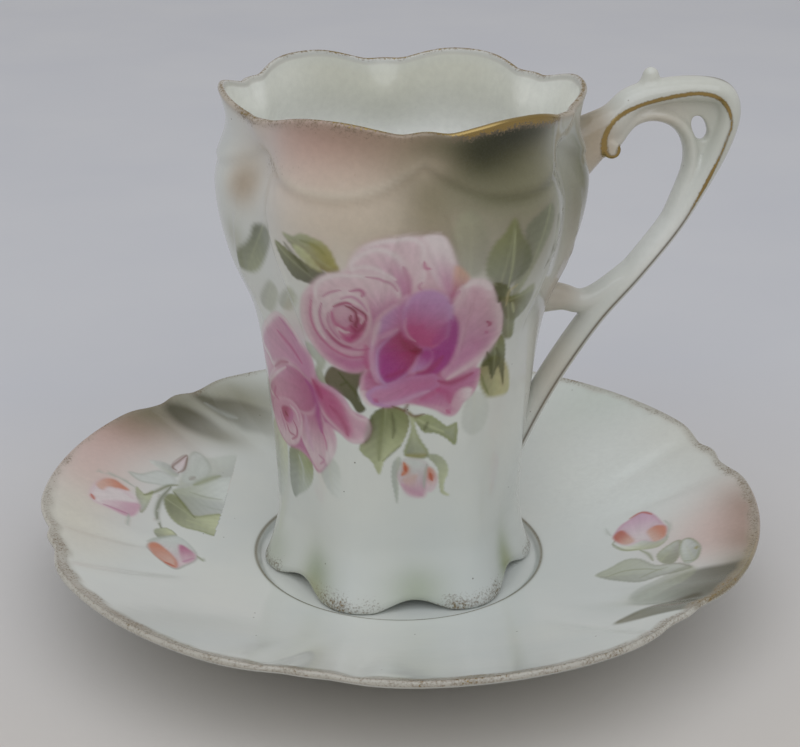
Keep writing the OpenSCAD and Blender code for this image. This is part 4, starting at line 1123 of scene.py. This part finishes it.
# Tints on the handle, most of them painted light and shade: place, width and height, colour, strength
HANDLE_TINTS = [
    ([40, 60], 200, 200, "handle_shade", 0.2),
    # painted light on the lower arm
    ([44, 57], 9, 11, "painted_light_deep_white", 0.4),
    # painted shade round the pierced hole
    ([50, 78], 7, 7, "sage_light", 0.35),
    # painted shade where the handle joins the cup
    ([31.2, 77], 3.4, 7, "taupe_tint", 0.9),
    ([31.2, 78], 3, 5, "umber_tint", 0.6),
    ([33, 73], 3.5, 5, "sand_tint", 0.75),
    ([27.5, 50], 4, 4, "taupe_tint", 0.6),
    ([26, 38], 4.5, 15, "sand_tint", 0.45),
    # painted shade in the recess of the web
    ([42.5, 79], 5.5, 2.6, "sand_tint", 0.5),
    # painted shade on the top of the strap
    ([46, 85], 12, 2.5, "handle_shade", 0.5),
]


def path(rows, s):
    """Smooth line through rows, s counting along them."""
    p = np.array(rows, float)
    s = np.asarray(s, float)
    i = np.clip(np.floor(s).astype(int), 0, len(p) - 2)
    return curve(p[np.maximum(i - 1, 0)], p[i], p[i + 1], p[np.minimum(i + 2, len(p) - 1)], (s - i)[:, None])


def outwards(line, s):
    """Direction across a line, to the outside of the handle."""
    step = path(line, np.minimum(s + 0.02, len(line) - 1)) - path(line, np.maximum(s - 0.02, 0))
    return np.column_stack([-step[:, 1], step[:, 0]]) / np.hypot(step[:, 0], step[:, 1])[:, None]


def beside(line, s, off):
    """Points beside a line, as [distance from the axis, height above the well]."""
    return path(line, s)[:, :2] + off * outwards(line, s) - (0, WELL_H)


def bent_bar(name, line, sides, rings):
    """A straight bar, cut into rings and bent along its line, with an oval section."""
    bpy.ops.mesh.primitive_cylinder_add(vertices=sides, radius=MM, depth=MM)
    piece = start_piece(name)
    edit(piece)
    bpy.ops.mesh.select_mode(type="EDGE")
    bpy.ops.mesh.select_all(action="DESELECT")
    bpy.ops.object.mode_set(mode="OBJECT")
    mesh = piece.data
    for e in mesh.edges:
        ends = [mesh.vertices[v].co.z for v in e.vertices]
        e.select = abs(ends[0] - ends[1]) > MM / 2
    bpy.ops.object.mode_set(mode="EDIT")
    bpy.ops.mesh.subdivide_edgering(number_cuts=rings, interpolation="LINEAR")
    close_piece()
    co = points(piece)
    s = (co[:, 2] + 0.5) * (len(line) - 1)
    at = path(line, s)
    across = outwards(line, s) * (co[:, 0] * at[:, 2] / 2)[:, None]
    move_points(piece, np.column_stack([at[:, 0] + across[:, 0], co[:, 1] * at[:, 3] / 2, at[:, 1] + across[:, 1]]))
    edit(piece)
    close_piece()
    return piece


def strip(name, edge_a, edge_b, thick):
    """A plate between two lines in the handle's plane."""
    n = len(edge_a)
    bpy.ops.mesh.primitive_grid_add(x_subdivisions=n - 1, y_subdivisions=1, size=MM)
    piece = start_piece(name)
    co = points(piece)
    i = np.clip(np.round((co[:, 0] + 0.5) * (n - 1)).astype(int), 0, n - 1)
    spot = np.where((co[:, 1] > 0)[:, None], np.array(edge_a)[i], np.array(edge_b)[i])
    move_points(piece, np.column_stack([spot[:, 0], np.zeros(len(spot)), spot[:, 1]]))
    apply(piece, "SOLIDIFY", thickness=thick * MM, offset=0)
    edit(piece)
    close_piece()
    return piece


def rod(name, x, z, r, width):
    """A short round rod across the handle."""
    bpy.ops.mesh.primitive_cylinder_add(
        vertices=32, radius=r * MM, depth=width * MM, location=(x * MM, 0, z * MM), rotation=(math.pi / 2, 0, 0)
    )
    return start_piece(name)


def thumb_rest():
    """A drop-shaped knob: a ball, spread at the foot and drawn up to its tip."""
    x, z = handle_spot(*THUMB)
    bpy.ops.mesh.primitive_uv_sphere_add(segments=32, ring_count=20, radius=1.7 * MM, location=(x * MM, 0, z * MM))
    thumb = start_piece("thumb_rest")
    co = points(thumb)
    base = (x, 0, z) + (co - (x, 0, z)) * (1.5, 1.2, 1)
    knob = (x, 0, THUMB_TIP - 1.4) + (co - (x, 0, z)) * 0.82
    move_points(thumb, np.where((co[:, 2] > z)[:, None], knob, base))
    return thumb


def oval_hole():
    """A rod drawn out along the web, to pierce it."""
    x, z = handle_spot(*HOLE)
    hole = rod("pierced_hole", x, z, 1.3, 14)
    co = points(hole)
    dx, dz = (p - q for p, q in zip(*(handle_spot(*end) for end in HOLE_ENDS)))
    far = math.hypot(dx, dz)
    lift = ((co[:, 0] - x) * dx + (co[:, 2] - z) * dz) / far
    co[:, 0] += lift * 0.75 * dx / far
    co[:, 2] += lift * 0.75 * dz / far
    move_points(hole, co)
    return hole


def cast_handle():
    """Strap, band, web, scroll and thumb rest run together, pierced and seated on the cup's wall."""
    strap = bent_bar("strap", STRAP_LINE, 40, 160)
    band = bent_bar("band", BAND_LINE, 28, 140)
    s = np.linspace(0, 6, 37)
    web = strip("web", path(STRAP_LINE, s + 2)[:, :2], path(BAND_LINE, s)[:, :2], 1.8)
    scroll = rod("scroll", *handle_spot(*SCROLL), 1.5, 7.0)
    handle = strap
    take(strap, band, web, scroll, thumb_rest())
    bpy.ops.object.join()
    handle.name = handle.data.name = "handle_glazed"
    apply(handle, "REMESH", mode="VOXEL", voxel_size=ROUGH_CAST * MM)
    hole = oval_hole()
    apply(handle, "BOOLEAN", operation="DIFFERENCE", object=hole, solver="EXACT")
    bpy.data.objects.remove(hole)
    apply(handle, "REMESH", mode="VOXEL", voxel_size=FINE_CAST * MM)
    apply(handle, "SMOOTH", factor=0.5, iterations=8)
    co = points(handle)
    r, b = polar(co)
    z = co[:, 2] - WELL_H
    wall = along(CREST, z) + cup_flutes(fold(b - CUP_TURN), z) - 0.35
    co[:, :2] *= (np.maximum(r, wall) / r)[:, None]
    move_points(handle, co)
    bpy.ops.object.shade_smooth()
    return handle


def make_handle():
    handle = cast_handle()
    co = points(handle)
    fired_and_painted_light = EnamelAndPaintedLight(np.column_stack([co[:, 0], co[:, 2] - WELL_H]))
    x, z = fired_and_painted_light.flat.T
    for row in HANDLE_TINTS:
        fired_and_painted_light.cloud(*row)
    # The gold line is on both sides. It runs thin down the outside, and lower down it is rubbed to a brown line.
    s = np.linspace(6.6, len(STRAP_LINE) - 1.05, 50)
    lower = beside(STRAP_LINE, s, 0.85 * ease((s - 6.3) / 2.6)[:, None])
    far, _ = distance(fired_and_painted_light.flat, rounded(GOLD_LINE + lower.tolist(), steps=3))
    curl = 0.7 * np.exp(-np.sum((fired_and_painted_light.flat - CURL) ** 2, axis=1) / 7)
    rubbed = ease((70 - z) / 10)
    thin = ease((x - 51.5) / 2) * ease((82.3 - z) / 4) * (1 - rubbed)
    flank = np.abs(co[:, 1]) > 0.8
    gold = np.where(flank, 0.82 - 0.4 * rubbed - 0.2 * thin - far / (0.95 + curl + 0.9 * rubbed), 0)
    fired_and_painted_light.wash("line_brown", (0.85 * rubbed + 0.6 * thin) * bell(far, 0.3) * flank)
    # and a thin brown line runs along the top of the strap
    far, share = distance(fired_and_painted_light.flat, beside(STRAP_LINE, np.linspace(3.2, 7.4, 30), 1.85))
    across = co[:, 1] - 0.9 + 1.3 * ease((x - 49) / 5)
    taper = ease(np.minimum(share, 1 - share) / 0.2)
    fired_and_painted_light.wash("line_brown", 0.9 * taper * bell(np.maximum(far - 0.3, 0), 0.2) * bell(across, 0.6))
    fired_and_painted_light.fire(handle, gold)
    return handle


# ---------------------------------------------------------------- materials


def node(tree, kind, inputs=None, out=0, **settings):
    """Adds a node with its settings, fills its inputs with values or links, and gives one of its outputs."""
    new = tree.nodes.new("ShaderNode" + kind)
    for key, value in settings.items():
        setattr(new, key, value)
    for key, value in (inputs or {}).items():
        if isinstance(value, bpy.types.NodeSocket):
            tree.links.new(value, new.inputs[key])
        else:
            new.inputs[key].default_value = value
    return new.outputs[out] if new.outputs else None


def material(name):
    made = bpy.data.materials.new(name)
    made.use_nodes = True
    made.node_tree.nodes.clear()
    return made, made.node_tree


# Sockets of a mix node: its share, two numbers, two colours and the mixed colour
SHARE, LOW, HIGH, UNDER, OVER, MIXED = 0, 2, 3, 6, 7, 2
IN_COLOUR = {"out": MIXED, "data_type": "RGBA"}


# Hard-paste porcelain under a clear glaze, with printed and sprayed enamels and worn burnished gold fired on it. The
# glaze gives sharp, slightly wavy reflections over a soft greenish white, the enamels sit under the same gloss, and
# the gold is a dull warm metal that has rubbed off into specks and left a brown stain.
def glazed_porcelain(name, wear, rubbed):
    made, tree = material(name)
    at = node(tree, "TexCoord", out="Object")
    # The painted colours hold painted light and shade as well as the prints and sprays
    enamel_and_painted_light = node(tree, "Attribute", out="Color", attribute_name="enamel_and_painted_light")
    cover = node(tree, "Attribute", out="Alpha", attribute_name="enamel_and_painted_light")
    gilding = node(tree, "Attribute", out="Fac", attribute_name="gilding")

    # Glaze that pools unevenly, in clouds about 25 mm across
    pool = node(tree, "TexNoise", {"Vector": at, "Scale": 40, "Detail": 3})
    tone = node(tree, "MapRange", {"Value": pool, "From Min": 0.35, "From Max": 0.65})
    body = node(tree, "Mix", {SHARE: tone, UNDER: linear("#d6d9d3"), OVER: linear("#ced3d0")}, **IN_COLOUR)
    # Iron specks in the paste, 0.25 mm across and a few centimetres apart
    speck = node(tree, "TexVoronoi", {"Vector": at, "Scale": 230, "Randomness": 1})
    dot = node(tree, "MapRange", {"Value": speck, "From Min": 0.028, "From Max": 0.04, "To Min": 0.75, "To Max": 0})
    body = node(tree, "Mix", {SHARE: dot, UNDER: body, OVER: linear("#5c5448")}, **IN_COLOUR)
    # The prints and sprays are laid in fine dots, 0.3 mm apart
    stipple = node(tree, "TexNoise", {"Vector": at, "Scale": 3300, "Detail": 2})
    grain = node(tree, "MapRange", {"Value": stipple, "From Min": 0.3, "From Max": 0.62, "To Min": 0.985, "To Max": 1})
    cover = node(tree, "Math", {0: cover, 1: grain}, operation="MULTIPLY")
    # and the colours vary a little within a brush's width, about 1 mm
    wash = node(tree, "TexNoise", {"Vector": at, "Scale": 900, "Detail": 3, "Roughness": 0.6})
    tint = node(tree, "MapRange", {"Value": wash, "From Min": 0.3, "From Max": 0.7, "To Min": 0.96, "To Max": 1.04})
    mottled = node(tree, "HueSaturation", {"Color": enamel_and_painted_light, "Value": tint})
    painted = node(tree, "Mix", {SHARE: cover, UNDER: body, OVER: mottled}, **IN_COLOUR)

    # Gold rubs off in specks of 0.4 mm and in patches of 6 mm
    rub = node(tree, "TexNoise", {"Vector": at, "Scale": 2400, "Detail": 4, "Roughness": 0.65})
    patchy = node(tree, "TexNoise", {"Vector": at, "Scale": 160, "Detail": 2})
    both = node(tree, "Math", {0: patchy, 1: 0.45, 2: rub}, operation="MULTIPLY_ADD")
    loss = node(tree, "Math", {0: both, 1: wear, 2: -0.725 * wear}, operation="MULTIPLY_ADD")
    left = node(tree, "Math", {0: gilding, 1: loss}, operation="ADD")
    stain = node(tree, "MapRange", {"Value": left, "From Min": 0.3, "From Max": 0.5, "To Max": 0.8})
    metal = node(tree, "MapRange", {"Value": left, "From Min": 0.47, "From Max": 0.55})
    stained = node(tree, "Mix", {SHARE: stain, UNDER: painted, OVER: linear(rubbed)}, **IN_COLOUR)
    warm = node(tree, "Mix", {SHARE: pool, UNDER: linear("#b59c66"), OVER: linear("#8d7a4e")}, **IN_COLOUR)
    colour = node(tree, "Mix", {SHARE: metal, UNDER: stained, OVER: warm}, **IN_COLOUR)

    # Gloss: a little duller where the gold is rubbed, and silky on the gold
    gloss = node(tree, "MapRange", {"Value": pool, "From Min": 0.3, "From Max": 0.7, "To Min": 0.07, "To Max": 0.14})
    dull = node(tree, "Mix", {SHARE: stain, LOW: gloss, HIGH: 0.3})
    rough = node(tree, "Mix", {SHARE: metal, LOW: dull, HIGH: 0.27})
    # Ripples of the glaze, 4 mm apart and some hundredths of a millimetre deep, and the edge of the gold
    ripple = node(tree, "TexNoise", {"Vector": at, "Scale": 250, "Detail": 2})
    wavy = node(tree, "Bump", {"Height": ripple, "Strength": 0.5, "Distance": 0.06 * MM})
    raised = node(tree, "Bump", {"Height": metal, "Strength": 0.4, "Distance": 0.03 * MM, "Normal": wavy})
    shader = node(tree, "BsdfPrincipled", {
        "Base Color": colour, "Roughness": rough, "Metallic": metal, "Normal": raised, "IOR": 1.5,
    })
    node(tree, "OutputMaterial", {"Surface": shader})
    return made


# ---------------------------------------------------------------- the finished pieces

cup = make_cup()
saucer = make_saucer()
handle = make_handle()
worn_gilding = glazed_porcelain("glazed_porcelain_worn_gilding", 0.9, "#786a58")
lined_gilding = glazed_porcelain("glazed_porcelain_lined_gilding", 0.5, "#7f7258")
for piece, node_name, body, slot, finish in (
    (cup, "cup_body", "cup", "cup_porcelain", worn_gilding),
    (handle, "handle", "cup", "handle_porcelain", lined_gilding),
    (saucer, "saucer", "saucer", "saucer_porcelain", worn_gilding),
):
    piece.data.materials.clear()
    piece.data.materials.append(finish)
    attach(piece, body)
    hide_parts(node_name)


# ---------------------------------------------------------------- stage, light and camera


# Uncoated paper: matt, with a faint mottle 60 mm across and a tooth of 0.8 mm, and in its near part painted a little
# yellower: painted warm light where the saucer's shade lies
def backdrop_paper():
    paper, tree = material("matt_backdrop_paper")
    at = node(tree, "TexCoord", out="Object")
    mottle = node(tree, "TexNoise", {"Vector": at, "Scale": 16, "Detail": 3})
    shade = node(tree, "Mix", {SHARE: mottle, UNDER: linear("#c5c7ce"), OVER: linear("#cfd0d3")}, **IN_COLOUR)
    depth = node(tree, "SeparateXYZ", {"Vector": at}, out="Y")
    front = node(tree, "MapRange", {"Value": depth, "From Min": 0.1, "From Max": -0.1, "To Max": 0.8})
    shade = node(tree, "Mix", {SHARE: front, UNDER: shade, OVER: linear("#d4ccc0")}, **IN_COLOUR)
    tooth = node(tree, "TexNoise", {"Vector": at, "Scale": 1200, "Detail": 2})
    grain = node(tree, "Bump", {"Height": tooth, "Strength": 0.3, "Distance": 0.05 * MM})
    shader = node(tree, "BsdfPrincipled", {"Base Color": shade, "Roughness": 0.9, "Normal": grain})
    node(tree, "OutputMaterial", {"Surface": shader})
    return paper


bpy.ops.mesh.primitive_plane_add(size=4)
floor = start_piece("paper_floor")
floor.data.materials.append(backdrop_paper())

scene = bpy.context.scene
scene.world = bpy.data.worlds.new("soft_room")
scene.world.use_nodes = True
tree = scene.world.node_tree
tree.nodes.clear()
sky = node(tree, "Background", {"Color": linear("#fdfaf7"), "Strength": 0.5})
node(tree, "OutputWorld", {"Surface": sky})

AIMED_AT = (0, 0, 0.05)


def softbox(name, place, size, watts):
    lamp = bpy.data.lights.new(name, "AREA")
    lamp.shape = "RECTANGLE"
    lamp.size, lamp.size_y = size
    lamp.energy = watts
    lamp.color = linear("#eff5ff")[:3]
    box = bpy.data.objects.new(name, lamp)
    scene.collection.objects.link(box)
    box.location = place
    box.rotation_euler = (Vector(place) - Vector(AIMED_AT)).to_track_quat("Z", "Y").to_euler()


softbox("softbox_front", (-0.12, -0.8, 1.3), (2.2, 1.6), 11.7)
softbox("softbox_top", (0, 0.35, 1.55), (1.2, 1.2), 1.5)

# The photograph's camera: 7.2 degrees to the left of the handle's normal, 22.2 degrees down, tilted half a degree
CAMERA_AT = (-0.0344, -0.2719, 0.1522)
CAMERA_TURNS = (("Z", -7.2), ("X", 90 - 22.2), ("Z", 0.51))
view = bpy.data.cameras.new("camera")
view.sensor_fit = "HORIZONTAL"
view.sensor_width = 36
view.lens = 76.6
view.clip_start = 0.01
camera = bpy.data.objects.new("camera", view)
scene.collection.objects.link(camera)
aim = Matrix.Translation(CAMERA_AT)
for axis, angle in CAMERA_TURNS:
    aim = aim @ Matrix.Rotation(math.radians(angle), 4, axis)
camera.matrix_world = aim
scene.camera = camera
scene.view_settings.view_transform = "Standard"
